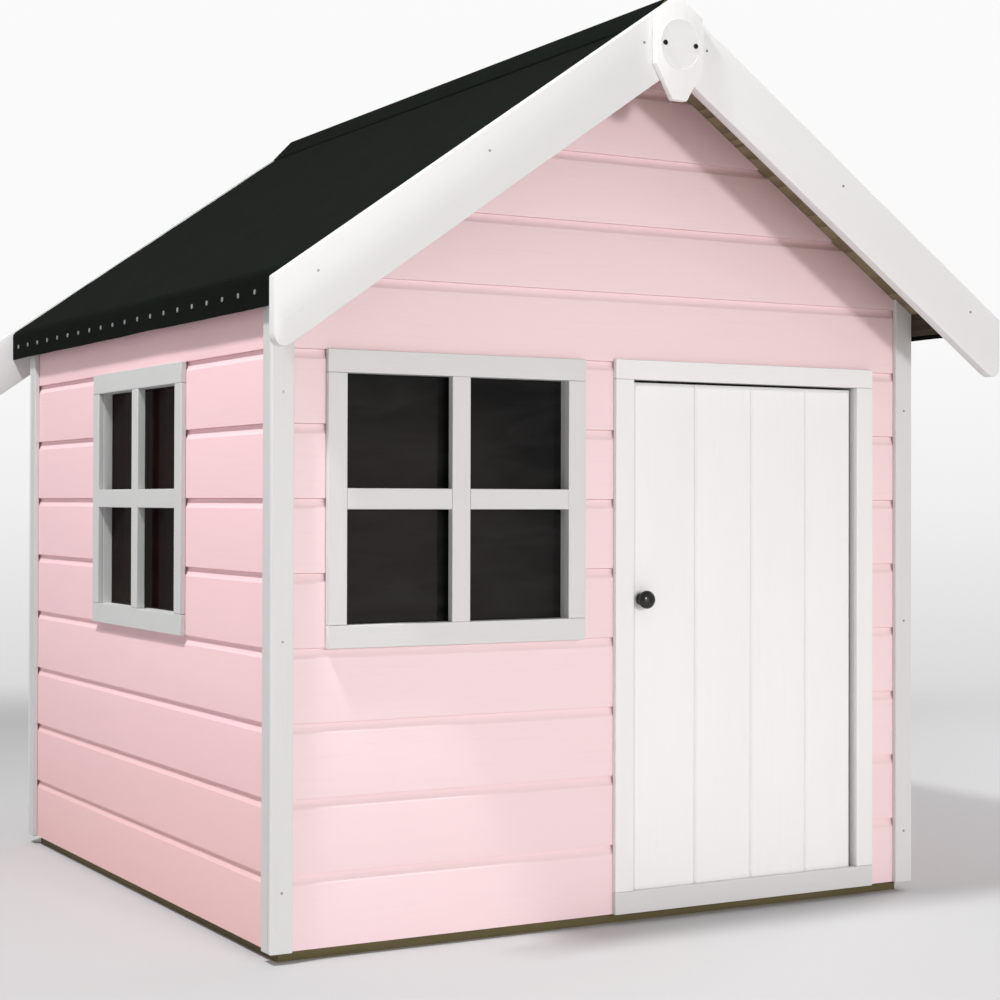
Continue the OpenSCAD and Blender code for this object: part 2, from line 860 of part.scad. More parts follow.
module door_hinge_pins() {
  cap_r = barrel_r - 1;
  cap_l = 1.5;
  color(zinc) at_hinges() {
    translate([0, 0, -barrel_l / 2]) cylinder(h = barrel_l, r = pin_d / 2, $fn = round_fn);
    for (side = [0, 1]) mirror([0, 0, side])
      translate([0, 0, barrel_l / 2]) cylinder(h = cap_l, r = cap_r, $fn = round_fn);
  }
}

module hinge_screw_head() {
  translate([0, -barrel_r - barrel_lift + hinge_t, 0]) rotate([-90, 0, 0])
    cylinder(h = hinge_screw_h, r = hinge_screw_d / 2, $fn = round_fn);
}

module door_strap_screws() {
  screws = 3;
  first = 24;
  step = (strap_l - 2 * first) / (screws - 1);
  color(zinc) at_hinges() for (i = [0:screws - 1])
    translate([-first - i * step, 0, 0]) hinge_screw_head();
}

module door_plate_screws() {
  color(zinc) at_hinges() for (side = [-1, 0, 1])
    translate([(barrel_r + hinge_clear + plate_l) / 2, 0, side * barrel_l / 3]) hinge_screw_head();
}

// ---- Roof -----------------------------------------------------------------

ridge_beam_h = 45;

module ridge_beam() {
  half = frame_w / 2;
  z0 = roof_under(half) - ridge_beam_h;
  color(raw_timber) along_y(front_y + wall_t + joint_gap, rear_y - wall_t - joint_gap)
    polygon([[-half, z0], [half, z0], [half, roof_under(half)], [0, roof_under(0)],
             [-half, roof_under(half)]]);
}

// Roof boards from the ridge to the eave, the last one rounded for the felt
module roof_boards() {
  first_x = board_gap / 2;
  slope_l = plumb_s(deck_x, 0);
  boards = ceil(slope_l / deck_board_w);
  pitch = slope_l / boards;
  top = layer_gap;
  low = deck_t - layer_gap;
  foot_x = deck_x - layer_gap;
  bend = arc(bend_centre, eave_bend_r - layer_gap, 90 - roof_pitch, 0, bend_steps);
  for (i = [0:boards - 1]) {
    s0 = i * pitch + board_gap / 2;
    s1 = (i + 1) * pitch - board_gap / 2;
    high_end = i == 0
      ? [slope_point(plumb_s(first_x, low), low), slope_point(plumb_s(first_x, top), top)]
      : [slope_point(s0, low), slope_point(s0, top)];
    low_end = i == boards - 1
      ? concat(bend, [[foot_x, roof_under(foot_x) + layer_gap / cos(roof_pitch)]])
      : [slope_point(s1, top), slope_point(s1, low)];
    along_y(roof_front_y, roof_rear_y) polygon(concat(high_end, low_end));
  }
}

module left_roof_boards() {
  color(treated_timber) mirror([1, 0, 0]) roof_boards();
}

module right_roof_boards() {
  color(treated_timber) roof_boards();
}

// The battens stand outside the corner strips, under the roof boards' ends
module eave_battens() {
  x = house_w / 2;
  z = eave_z + felt_drip;
  color(treated_timber) for (side = [0, 1]) mirror([side, 0, 0])
    along_y(roof_front_y, roof_rear_y)
      polygon([[x, z], [deck_x, z], [deck_x, roof_under(deck_x)], [x, roof_under(x)]]);
}

// One sheet of felt: down the slope, round the bend and down the eave's face
module roof_felt() {
  first_x = board_gap / 2;
  outer = arc(bend_centre, eave_bend_r + felt_t, 90 - roof_pitch, 0, bend_steps);
  inner = arc(bend_centre, eave_bend_r, 0, 90 - roof_pitch, bend_steps);
  along_y(roof_front_y, roof_rear_y)
    polygon(concat([[first_x, deck_top(first_x)], [first_x, felt_top(first_x)]], outer,
                   [[felt_x, eave_z], [deck_x, eave_z]], inner));
}

module left_roof_felt() {
  color(felt_colour) mirror([1, 0, 0]) roof_felt();
}

module right_roof_felt() {
  color(felt_colour) roof_felt();
}

// The ridge roll is a low timber fillet that lifts the ridge felt
ridge_top_r = 14;
roll_half_w = ridge_half_w - 4;
roll_top_z = ridge_z + ridge_rise - felt_t;
roll_angle = atan((roll_top_z - felt_top(roll_half_w)) / roll_half_w);
roll_arc_z = roll_top_z - ridge_top_r;
function over_felt(x) = felt_top(x) + layer_gap;
function roll_arc(r) =
  arc([0, roll_arc_z], r, 90 - roll_angle, 90 + roll_angle, 2 * bend_steps);

module ridge_roll() {
  color(treated_timber) along_y(roof_front_y, roof_rear_y)
    polygon(concat([[roll_half_w, over_felt(roll_half_w)]], roll_arc(ridge_top_r),
                   [[-roll_half_w, over_felt(roll_half_w)], [0, over_felt(0)]]));
}

module ridge_felt() {
  edge_top = felt_top(ridge_half_w) + felt_v;
  color(felt_colour) along_y(roof_front_y, roof_rear_y)
    polygon(concat(
      [[ridge_half_w, over_felt(ridge_half_w)], [ridge_half_w, edge_top]],
      roll_arc(ridge_top_r + felt_t),
      [[-ridge_half_w, edge_top], [-ridge_half_w, over_felt(ridge_half_w)],
       [-roll_half_w, over_felt(roll_half_w)]],
      [for (i = [2 * bend_steps:-1:0]) roll_arc(ridge_top_r)[i]],
      [[roll_half_w, over_felt(roll_half_w)]]));
}

// Round-headed clout nails along both eaves
module clout_nails() {
  nails = floor(roof_l / nail_gap);
  first_y = roof_front_y + (roof_l - (nails - 1) * nail_gap) / 2;
  head_t = 1.2;
  up = 24;
  color(zinc) for (side = [0, 1]) mirror([side, 0, 0]) for (i = [0:nails - 1])
    translate([felt_x, first_y + i * nail_gap, eave_z + up]) rotate([0, 90, 0])
      cylinder(h = head_t, r1 = nail_d / 2, r2 = nail_d / 2 - 0.8, $fn = 24);
}

// ---- Barge boards and finials ---------------------------------------------

// Outline of the right-hand board: plumb cuts, with the lower corner rounded
module barge_outline(rise) {
  r = barge_corner_r;
  foot_x = barge_x - r;
  head_x = board_gap / 2;
  c = [foot_x, barge_low(foot_x, rise) + r / cos(roof_pitch)];
  polygon(concat(
    [[head_x, barge_low(head_x, rise)], [head_x, barge_top(head_x, rise)],
     [barge_x, barge_top(barge_x, rise)]],
    arc(c, r, 0, -90 - roof_pitch, 8)));
}

module barge_pair(y0, rise) {
  for (side = [0, 1]) mirror([side, 0, 0]) along_y(y0, y0 + barge_t) barge_outline(rise);
}

module front_barge_boards() {
  color(white) barge_pair(roof_front_y - barge_t, barge_rise);
}

module rear_barge_boards() {
  color(white) barge_pair(roof_rear_y, rear_barge_rise);
}

module finial_outline(rise) {
  w = finial_w / 2;
  f = finial_foot_w / 2;
  corner_z = barge_top(w, rise);
  shoulder_z = corner_z - finial_side;
  foot_z = shoulder_z - finial_taper;
  polygon([[0, barge_top(0, rise)], [w, corner_z], [w, shoulder_z], [f, foot_z],
           [-f, foot_z], [-w, shoulder_z], [-w, corner_z]]);
}

module front_finial() {
  y1 = roof_front_y - barge_t;
  color(white) along_y(y1 - finial_t, y1) finial_outline(barge_rise);
}

module rear_finial() {
  y0 = roof_rear_y + barge_t;
  color(white) along_y(y0, y0 + finial_t) finial_outline(rear_barge_rise);
}

// A thin blank oval plate on the front finial
module finial_plaque() {
  y0 = roof_front_y - barge_t - finial_t - plaque_t;
  color([0.98, 0.98, 0.97]) translate([0, y0 + plaque_t, plaque_z]) rotate([90, 0, 0])
    linear_extrude(plaque_t) scale([plaque_w / plaque_h, 1]) circle(d = plaque_h, $fn = 64);
}

module finial_screws() {
  y0 = roof_front_y - barge_t - finial_t - plaque_t;
  color(black) for (x = [-finial_screw_x, finial_screw_x])
    translate([x, y0, plaque_z]) rotate([90, 0, 0])
      cylinder(h = finial_screw_h, r = finial_screw_d / 2, $fn = round_fn);
}

// Small pins hold the barge boards and the corner strips
pin_head_t = 0.6;
barge_pin_down = 37;
barge_pins = [59, 332, house_w / 2 - 4];
strip_pins = [for (up = [90, 460, 830]) base_lift + up];

module pin_heads(x, z, y, out) {
  for (side = [-1, 1]) translate([side * x, y, z]) rotate([out * 90, 0, 0])
    cylinder(h = pin_head_t, r = panel_pin_d / 2, $fn = 24);
}

module panel_pins() {
  strip_x = house_w / 2 - corner_w / 2;
  color(zinc) {
    for (x = barge_pins) {
      pin_heads(x, barge_top(x, barge_rise) - barge_pin_down, roof_front_y - barge_t, 1);
      pin_heads(x, barge_top(x, rear_barge_rise) - barge_pin_down, roof_rear_y + barge_t, -1);
    }
    for (z = strip_pins) {
      pin_heads(strip_x, z, front_y - trim_t, 1);
      pin_heads(strip_x, z, rear_y + trim_t, -1);
    }
  }
}

floor_rims();
floor_bearers();
floor_boards();
front_frame();
rear_frame();
left_frame();
right_frame();
front_cladding();
front_gable_cladding();
rear_cladding();
rear_gable_cladding();
left_cladding();
right_cladding();
front_corner_strips();
rear_corner_strips();
left_corner_strips();
right_corner_strips();
front_window_lining();
front_window_pane();
front_window_beads();
front_window_trim_rails();
front_window_trim_stiles();
front_window_bars();
side_window_lining();
side_window_pane();
side_window_beads();
side_window_trim_rails();
side_window_trim_stiles();
side_window_bars();
door_sill();
door_jambs();
door_trim_head();
door_trim_sides();
door_trim_foot();
door_boards();
door_ledges();
door_knob();
door_knob_screw();
door_hinge_straps();
door_strap_screws();
door_hinge_plates();
door_hinge_pins();
door_plate_screws();
ridge_beam();
left_roof_boards();
right_roof_boards();
eave_battens();
left_roof_felt();
right_roof_felt();
ridge_roll();
ridge_felt();
clout_nails();
front_barge_boards();
rear_barge_boards();
front_finial();
rear_finial();
finial_plaque();
finial_screws();
panel_pins();
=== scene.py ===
import math

import bmesh
import bpy
from mathutils import Matrix, Vector, noise


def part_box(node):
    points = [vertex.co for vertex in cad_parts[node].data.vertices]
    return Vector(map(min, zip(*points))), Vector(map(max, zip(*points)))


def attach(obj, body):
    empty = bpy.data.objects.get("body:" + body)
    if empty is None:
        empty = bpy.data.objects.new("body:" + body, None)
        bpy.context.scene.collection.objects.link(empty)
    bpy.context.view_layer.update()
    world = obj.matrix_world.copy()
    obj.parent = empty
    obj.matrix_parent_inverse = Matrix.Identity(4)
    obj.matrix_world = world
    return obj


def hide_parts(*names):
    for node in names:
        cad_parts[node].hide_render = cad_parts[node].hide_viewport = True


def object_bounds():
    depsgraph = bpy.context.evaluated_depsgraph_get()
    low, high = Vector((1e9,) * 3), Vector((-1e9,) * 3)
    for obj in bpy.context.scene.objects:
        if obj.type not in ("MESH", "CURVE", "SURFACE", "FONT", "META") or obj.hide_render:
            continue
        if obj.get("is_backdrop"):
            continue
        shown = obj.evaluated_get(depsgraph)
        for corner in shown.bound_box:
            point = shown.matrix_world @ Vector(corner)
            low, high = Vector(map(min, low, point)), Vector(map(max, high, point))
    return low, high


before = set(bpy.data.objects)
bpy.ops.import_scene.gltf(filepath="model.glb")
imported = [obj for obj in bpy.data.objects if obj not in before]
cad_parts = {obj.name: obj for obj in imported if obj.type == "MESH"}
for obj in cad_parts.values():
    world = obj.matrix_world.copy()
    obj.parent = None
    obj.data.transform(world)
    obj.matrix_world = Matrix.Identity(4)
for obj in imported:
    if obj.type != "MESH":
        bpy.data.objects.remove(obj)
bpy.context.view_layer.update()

bpy.ops.object.select_all(action="DESELECT")

# ---- Camera ---------------------------------------------------------------
# It stands in front of the left window, well back, a little above the sills
# and almost level, with a long lens that keeps the corner posts upright.
CAMERA_PLACE = (-1.7788, -3.3252, 0.6843)
CAMERA_TURN = [math.radians(angle) for angle in (90.6245, -0.1471, -29.2856)]
bpy.ops.object.camera_add(location=CAMERA_PLACE, rotation=CAMERA_TURN)
camera = bpy.context.object
camera.data.lens = 72.31
camera.data.shift_x = 0.0102
camera.data.shift_y = -0.0204
camera.data.clip_end = 200
bpy.context.scene.camera = camera

# ---- Floor and light ------------------------------------------------------
# A plain pale floor fades into a pale surround that is lighter higher up. A lamp
# high at the left shades the wall under the eave, one straight in front shades
# the gable behind the barge boards. The others fill in from the right and from below.
FLOOR_HALF = 4.5
FLOOR_FADE = (2.6, 4.2)
FLOOR_COLOUR = (0.55, 0.55, 0.555, 1)
FLOOR_SHADE = tuple(0.97 * c for c in FLOOR_COLOUR[:3]) + (1,)
SKY_STRENGTH = 0.44
SURROUND = ((0.0, 0.50), (0.42, 0.54), (0.46, 0.72), (0.5, 0.87), (0.54, 0.95), (0.7, 0.97))


def shader_of(name):
    """A new material and the shader that it starts with."""
    material = bpy.data.materials.new(name)
    material.use_nodes = True
    return material, material.node_tree.nodes["Principled BSDF"]


def add_node(material, kind, values=None, **settings):
    """One more node. A value is a number or colour, or another node's output to link."""
    made = material.node_tree.nodes.new(kind)
    for key, setting in settings.items():
        setattr(made, key, setting)
    for key, value in (values or {}).items():
        if isinstance(value, bpy.types.NodeSocket):
            material.node_tree.links.new(value, made.inputs[key])
        else:
            made.inputs[key].default_value = value
    return made


def link(material, output, shader_input):
    material.node_tree.links.new(output, shader_input)


def blend_colours(material, amount, first, second):
    """A colour between two, by the output of another node."""
    mix = add_node(material, "ShaderNodeMix", data_type="RGBA")
    for socket, value in (("Factor_Float", amount), ("A_Color", first), ("B_Color", second)):
        target = next(s for s in mix.inputs if s.identifier == socket)
        if isinstance(value, bpy.types.NodeSocket):
            link(material, value, target)
        else:
            target.default_value = value
    return next(s for s in mix.outputs if s.identifier == "Result_Color")


bpy.ops.mesh.primitive_plane_add(size=2 * FLOOR_HALF)
floor = bpy.context.object
floor.name = "studio_floor"
floor_paint, shader = shader_of("studio_floor")
dust_and_low_shade = add_node(floor_paint, "ShaderNodeTexNoise", {"Scale": 3.0, "Detail": 4.0})
link(floor_paint, blend_colours(floor_paint, dust_and_low_shade.outputs["Fac"], FLOOR_COLOUR, FLOOR_SHADE),
     shader.inputs["Base Color"])
shader.inputs["Roughness"].default_value = 0.9
shader.inputs["Specular IOR Level"].default_value = 0.1
distance = add_node(floor_paint, "ShaderNodeVectorMath",
                    {0: add_node(floor_paint, "ShaderNodeTexCoord").outputs["Object"]},
                    operation="LENGTH")
fade = add_node(floor_paint, "ShaderNodeMapRange",
                {"Value": distance.outputs["Value"], "From Min": FLOOR_FADE[0],
                 "From Max": FLOOR_FADE[1]}, interpolation_type="SMOOTHSTEP")
clear = add_node(floor_paint, "ShaderNodeBsdfTransparent")
mixed = add_node(floor_paint, "ShaderNodeMixShader",
                 {0: fade.outputs["Result"], 1: shader.outputs["BSDF"],
                  2: clear.outputs["BSDF"]})
link(floor_paint, mixed.outputs["Shader"],
     floor_paint.node_tree.nodes["Material Output"].inputs["Surface"])
floor.data.materials.append(floor_paint)
floor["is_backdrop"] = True

scene = bpy.context.scene
scene.view_settings.view_transform = "Standard"
scene.world = scene.world or bpy.data.worlds.new("surround")
scene.world.use_nodes = True
light = scene.world.node_tree.nodes["Background"]
light.inputs["Color"].default_value = (1, 1, 1, 1)
light.inputs["Strength"].default_value = SKY_STRENGTH
height = add_node(scene.world, "ShaderNodeSeparateXYZ",
                  {"Vector": add_node(scene.world, "ShaderNodeTexCoord").outputs["Generated"]})
share = add_node(scene.world, "ShaderNodeMapRange",
                 {"Value": height.outputs["Z"], "From Min": -1.0, "From Max": 1.0})
ramp = add_node(scene.world, "ShaderNodeValToRGB", {"Fac": share.outputs["Result"]})
while len(ramp.color_ramp.elements) < len(SURROUND):
    ramp.color_ramp.elements.new(1.0)
for stop, (place, grey) in zip(ramp.color_ramp.elements, SURROUND):
    stop.position = place
    stop.color = (grey, grey, grey, 1)
seen = add_node(scene.world, "ShaderNodeBackground", {"Color": ramp.outputs["Color"]})
choice = add_node(scene.world, "ShaderNodeMixShader",
                  {0: add_node(scene.world, "ShaderNodeLightPath").outputs["Is Camera Ray"],
                   1: light.outputs["Background"], 2: seen.outputs["Background"]})
link(scene.world, choice.outputs["Shader"],
     scene.world.node_tree.nodes["World Output"].inputs["Surface"])


def soft_lamp(name, place, target, size, energy, colour=(1, 1, 1)):
    """A square soft lamp that faces a point and isn't seen itself."""
    bpy.ops.object.light_add(type="AREA", location=place)
    lamp = bpy.context.object
    lamp.name = name
    lamp.data.shape = "SQUARE"
    lamp.data.size = size
    lamp.data.energy = energy
    lamp.data.color = colour
    lamp.visible_camera = False
    lamp.rotation_euler = (Vector(target) - Vector(place)).to_track_quat("-Z", "Y").to_euler()


soft_lamp("eave_lamp", (-2.35, -0.9, 4.4), (-0.6, -0.1, 0.6), 0.35, 170)
soft_lamp("front_lamp", (0.05, -6.0, 1.4), (0.1, -0.6, 0.9), 0.55, 92)
soft_lamp("right_lamp", (4.2, 0.3, 3.0), (1.8, 0.0, 0.0), 2.5, 110)
soft_lamp("floor_bounce", (0.3, -2.6, 0.25), (0.2, -0.6, 1.1), 1.5, 9, (1.0, 0.82, 0.72))
soft_lamp("side_bounce", (-2.7, 0.1, 0.25), (-0.6, 0.05, 0.95), 1.5, 3, (1.0, 0.74, 0.74))

# ---- Floor timbers --------------------------------------------------------
# Sawn softwood bearers, green from pressure treatment, with plain boards
# nailed across them. They lift the walls clear of the ground.
MM = 0.001
TREATED = ((0.125, 0.105, 0.045, 1), (0.24, 0.20, 0.095, 1))
RAW = ((0.42, 0.29, 0.16, 1), (0.66, 0.50, 0.31, 1))
ALONG = {"x": (0, 0, 0), "y": (0, 0, math.radians(90)), "z": (0, math.radians(-90), 0)}


def finish_nodes(names, material):
    """Gives CAD nodes that keep their shape their finish."""
    for name in names:
        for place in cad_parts[name].material_slots:
            place.material = material


def grain_space(material, turn, length, across):
    """Object coordinates turned along a board and stretched to its grain."""
    where = add_node(material, "ShaderNodeTexCoord").outputs["Object"]
    return add_node(material, "ShaderNodeMapping",
                    {"Vector": where, "Rotation": turn, "Scale": (length, across, across)},
                    vector_type="TEXTURE").outputs["Vector"]


def sawn_timber(name, turn, colours, rough=0.75):
    """Bare softwood: growth rings, fine fibres, streaks of uneven tone and saw marks."""
    material, shader = shader_of(name)
    rings = add_node(material, "ShaderNodeTexWave",
                     {"Vector": grain_space(material, turn, 0.9, 0.05), "Scale": 1.0,
                      "Distortion": 7.0, "Detail": 3.0, "Detail Scale": 1.5},
                     wave_type="RINGS", rings_direction="X", wave_profile="SAW")
    fibres = add_node(material, "ShaderNodeTexNoise",
                      {"Vector": grain_space(material, turn, 0.06, 0.0016), "Scale": 1.0,
                       "Detail": 5.0, "Roughness": 0.65})
    tone = add_node(material, "ShaderNodeTexNoise",
                    {"Vector": grain_space(material, turn, 0.5, 0.06), "Scale": 1.0,
                     "Detail": 3.0})
    base = blend_colours(material, rings.outputs["Fac"], colours[0], colours[1])
    dark = tuple(0.6 * c for c in colours[0][:3]) + (1,)
    streaks = add_node(material, "ShaderNodeMath",
                       {0: fibres.outputs["Fac"], 1: tone.outputs["Fac"]},
                       operation="MULTIPLY")
    link(material, blend_colours(material, streaks.outputs["Value"], base, dark),
         shader.inputs["Base Color"])
    saw_marks = add_node(material, "ShaderNodeMath",
                         {0: fibres.outputs["Fac"], 1: rings.outputs["Fac"]}, operation="ADD")
    bump = add_node(material, "ShaderNodeBump",
                    {"Height": saw_marks.outputs["Value"], "Strength": 0.5,
                     "Distance": 0.5 * MM})
    link(material, bump.outputs["Normal"], shader.inputs["Normal"])
    shader.inputs["Roughness"].default_value = rough
    shader.inputs["Specular IOR Level"].default_value = 0.3
    return material


finish_nodes(["floor_rims"], sawn_timber("treated_along_x", ALONG["x"], TREATED))
finish_nodes(["floor_bearers"], sawn_timber("treated_along_y", ALONG["y"], TREATED))
finish_nodes(["floor_boards"], sawn_timber("floor_pine", ALONG["x"], RAW, 0.6))

# ---- Wall frames ----------------------------------------------------------
# Planed softwood rails and studs behind the boards, left bare inside the room,
# and the ridge beam that runs between the two gables.
finish_nodes(["front_frame", "rear_frame", "left_frame", "right_frame"],
             sawn_timber("stud_pine", ALONG["z"], RAW, 0.6))
finish_nodes(["ridge_beam"], sawn_timber("beam_pine", ALONG["y"], RAW, 0.6))

# ---- Wall boards ----------------------------------------------------------
# Horizontal softwood boards with a cove along each top edge and a tongue behind
# the next board, painted pale pink with a roller after they are nailed up.
PINK = ((0.91, 0.690, 0.720, 1), (0.945, 0.735, 0.765, 1))
# The side walls' pink is a darker, redder copy of the same paint: painted shade.
SIDE_PINK_SHADED = ((0.915, 0.615, 0.655, 1), (0.945, 0.655, 0.695, 1))
# Towards the bottom of the side walls the pink is blended to this darker, warmer colour: painted
# shade.
SIDE_LOW_SHADE = (0.83, 0.520, 0.500, 1)
BOARD_PITCH = 112 * MM
BOARD_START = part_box("front_cladding")[0].z
BOARD_EDGE = 0.7 * MM
LOW_SHADE_TOP = 0.48
LOW_SHADE_MOST = 0.85


def painted(name, turn, colours, rough, grain=0.35, tone_by_row=False, dust_and_low_shade=None):
    """Satin paint on planed boards: faint grain, roller stipple and soft unevenness."""
    material, shader = shader_of(name)
    grain_noise = add_node(material, "ShaderNodeTexNoise",
                           {"Vector": grain_space(material, turn, 0.16, 0.0045), "Scale": 1.0,
                            "Detail": 6.0, "Roughness": 0.6, "Distortion": 0.4})
    cloud = add_node(material, "ShaderNodeTexNoise",
                     {"Vector": grain_space(material, turn, 0.35, 0.09), "Scale": 1.0,
                      "Detail": 3.0})
    stipple = add_node(material, "ShaderNodeTexNoise",
                       {"Vector": grain_space(material, turn, 1.0, 1.0), "Scale": 700.0,
                        "Detail": 2.0})
    amount = cloud.outputs["Fac"]
    if tone_by_row:
        place = add_node(material, "ShaderNodeSeparateXYZ",
                         {"Vector": add_node(material, "ShaderNodeTexCoord").outputs["Object"]})
        lift = add_node(material, "ShaderNodeMath", {0: place.outputs["Z"], 1: BOARD_START},
                        operation="SUBTRACT")
        row = add_node(material, "ShaderNodeMath", {0: lift.outputs["Value"], 1: BOARD_PITCH},
                       operation="DIVIDE")
        whole = add_node(material, "ShaderNodeMath", {0: row.outputs["Value"]},
                         operation="FLOOR")
        board = add_node(material, "ShaderNodeTexWhiteNoise", {"W": whole.outputs["Value"]},
                         noise_dimensions="1D")
        mixed = add_node(material, "ShaderNodeMath",
                         {0: amount, 1: board.outputs["Value"]}, operation="ADD")
        amount = add_node(material, "ShaderNodeMath", {0: mixed.outputs["Value"], 1: 0.5},
                          operation="MULTIPLY").outputs["Value"]
    coat = blend_colours(material, amount, colours[0], colours[1])
    # Painted shade: below a given height the coat is blended towards a darker colour, most at the
    # bottom.
    if dust_and_low_shade:
        low_down = add_node(material, "ShaderNodeMapRange",
                            {"Value": place.outputs["Z"], "From Max": LOW_SHADE_TOP,
                             "To Min": LOW_SHADE_MOST, "To Max": 0.0})
        coat = blend_colours(material, low_down.outputs["Result"], coat, dust_and_low_shade)
    thin = tuple(0.93 * c for c in colours[0][:3]) + (1,)
    faint = add_node(material, "ShaderNodeMapRange",
                     {"Value": grain_noise.outputs["Fac"], "From Min": 0.55, "From Max": 0.85,
                      "To Max": 0.5})
    link(material, blend_colours(material, faint.outputs["Result"], coat, thin),
         shader.inputs["Base Color"])
    sheen = add_node(material, "ShaderNodeMapRange",
                     {"Value": cloud.outputs["Fac"], "To Min": rough - 0.06,
                      "To Max": rough + 0.08})
    link(material, sheen.outputs["Result"], shader.inputs["Roughness"])
    fine = add_node(material, "ShaderNodeBump",
                    {"Height": stipple.outputs["Fac"], "Strength": 0.25,
                     "Distance": 0.15 * MM})
    bump = add_node(material, "ShaderNodeBump",
                    {"Height": grain_noise.outputs["Fac"], "Strength": grain,
                     "Distance": 0.4 * MM, "Normal": fine.outputs["Normal"]})
    link(material, bump.outputs["Normal"], shader.inputs["Normal"])
    shader.inputs["Specular IOR Level"].default_value = 0.4
    return material


def round_sharp_edges(edge, steps=2, sharp=28):
    """Takes the sharpness off the edges of the piece in hand, as sanding and paint do."""
    bpy.ops.object.mode_set(mode="EDIT")
    bpy.ops.mesh.select_mode(type="EDGE")
    bpy.ops.mesh.select_all(action="DESELECT")
    bpy.ops.mesh.edges_select_sharp(sharpness=math.radians(sharp))
    bpy.ops.mesh.bevel(offset=edge, segments=steps, affect="EDGES", clamp_overlap=True)
    bpy.ops.object.mode_set(mode="OBJECT")
    bpy.ops.object.shade_smooth_by_angle(angle=math.radians(20))


def softened_copy(node, name, edge, steps=2):
    """The node's own boards again, joined at their corners and with rounded edges."""
    bpy.ops.object.select_all(action="DESELECT")
    piece = bpy.data.objects.new(name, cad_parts[node].data.copy())
    bpy.context.collection.objects.link(piece)
    bpy.context.view_layer.objects.active = piece
    piece.select_set(True)
    bpy.ops.object.mode_set(mode="EDIT")
    bpy.ops.mesh.select_all(action="SELECT")
    bpy.ops.mesh.remove_doubles(threshold=0.005 * MM)
    bpy.ops.mesh.dissolve_limited(angle_limit=math.radians(0.5))
    bpy.ops.object.mode_set(mode="OBJECT")
    round_sharp_edges(edge, steps)
    return piece


def fit(piece, material, node=None, body="house"):
    """Paints a finished piece and sets it on its body, in place of its CAD node."""
    piece.data.name = piece.name
    piece.data.materials.clear()
    piece.data.materials.append(material)
    if node:
        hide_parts(node)
    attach(piece, body)
    return piece


pink_along_x = painted("pink_paint_along_x", ALONG["x"], PINK, 0.52, tone_by_row=True)
# The side walls' paint carries painted shade: a darker, redder pink, darker still towards the
# bottom.
pink_along_y = painted("pink_paint_along_y", ALONG["y"], SIDE_PINK_SHADED, 0.52, tone_by_row=True,
                       dust_and_low_shade=SIDE_LOW_SHADE)
for wall, paint in (("front", pink_along_x), ("front_gable", pink_along_x),
                    ("rear", pink_along_x), ("rear_gable", pink_along_x),
                    ("left", pink_along_y), ("right", pink_along_y)):
    fit(softened_copy(wall + "_cladding", wall + "_boards", BOARD_EDGE), paint,
        wall + "_cladding")

# ---- Corner strips --------------------------------------------------------
# Planed softwood strips nailed over the ends of the wall boards, painted white.
# The gable strips lap the side strips and stop in a notch round the eave.
WHITE = ((0.69, 0.69, 0.69, 1), (0.73, 0.73, 0.73, 1))
# The side walls' strips and window take a darker copy of the same white: painted shade.
SIDE_WHITE_SHADED = ((0.60, 0.61, 0.605, 1), (0.65, 0.655, 0.65, 1))
STRIP_EDGE = 1.4 * MM
white_along = {axis: painted("white_paint_along_" + axis, turn, WHITE, 0.42, 0.45)
               for axis, turn in ALONG.items()}
side_white_shaded_along = {axis: painted("side_white_shaded_along_" + axis, ALONG[axis], SIDE_WHITE_SHADED, 0.42, 0.45)
                    for axis in "yz"}


def blank(name, low, high):
    """A planed length of timber between two corners, ready to be shaped."""
    bpy.ops.object.select_all(action="DESELECT")
    low, high = Vector(low), Vector(high)
    bpy.ops.mesh.primitive_cube_add(size=1, location=(low + high) / 2)
    piece = bpy.context.object
    piece.name = name
    piece.scale = high - low
    bpy.ops.object.transform_apply(location=True, rotation=True, scale=True)
    return piece


def saw(point, facing):
    """Cuts off what lies beyond a point of the piece in hand, on the side it faces."""
    bpy.ops.object.mode_set(mode="EDIT")
    bpy.ops.mesh.select_all(action="SELECT")
    bpy.ops.mesh.bisect(plane_co=point, plane_no=facing, use_fill=True, clear_outer=True)
    bpy.ops.object.mode_set(mode="OBJECT")


def moved_copy(piece, name, place):
    """Another piece of the same pattern, with its own mesh, in its own place."""
    bpy.ops.object.select_all(action="DESELECT")
    copy = bpy.data.objects.new(name, piece.data.copy())
    bpy.context.collection.objects.link(copy)
    copy.data.transform(place)
    if place.determinant() < 0:
        copy.data.flip_normals()
    bpy.context.view_layer.objects.active = copy
    copy.select_set(True)
    return copy


for wall in ("front", "rear"):
    fit(softened_copy(wall + "_corner_strips", wall + "_gable_strips", STRIP_EDGE),
        white_along["z"], wall + "_corner_strips")
MIRROR_X = Matrix.Scale(-1, 4, (1, 0, 0))
side_low, side_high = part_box("left_corner_strips")
SIDE_STRIP_W = 27 * MM
front_left = blank("left_front_strip", side_low,
                   (side_high.x, side_low.y + SIDE_STRIP_W, side_high.z))
round_sharp_edges(STRIP_EDGE)
to_rear = Matrix.Translation((0, side_high.y - side_low.y - SIDE_STRIP_W, 0))
rear_left = moved_copy(front_left, "left_rear_strip", to_rear)
for strip in (front_left, rear_left):
    right = moved_copy(strip, strip.name.replace("left", "right"), MIRROR_X)
    fit(right, side_white_shaded_along["z"], "right_corner_strips")
    fit(strip, side_white_shaded_along["z"], "left_corner_strips")

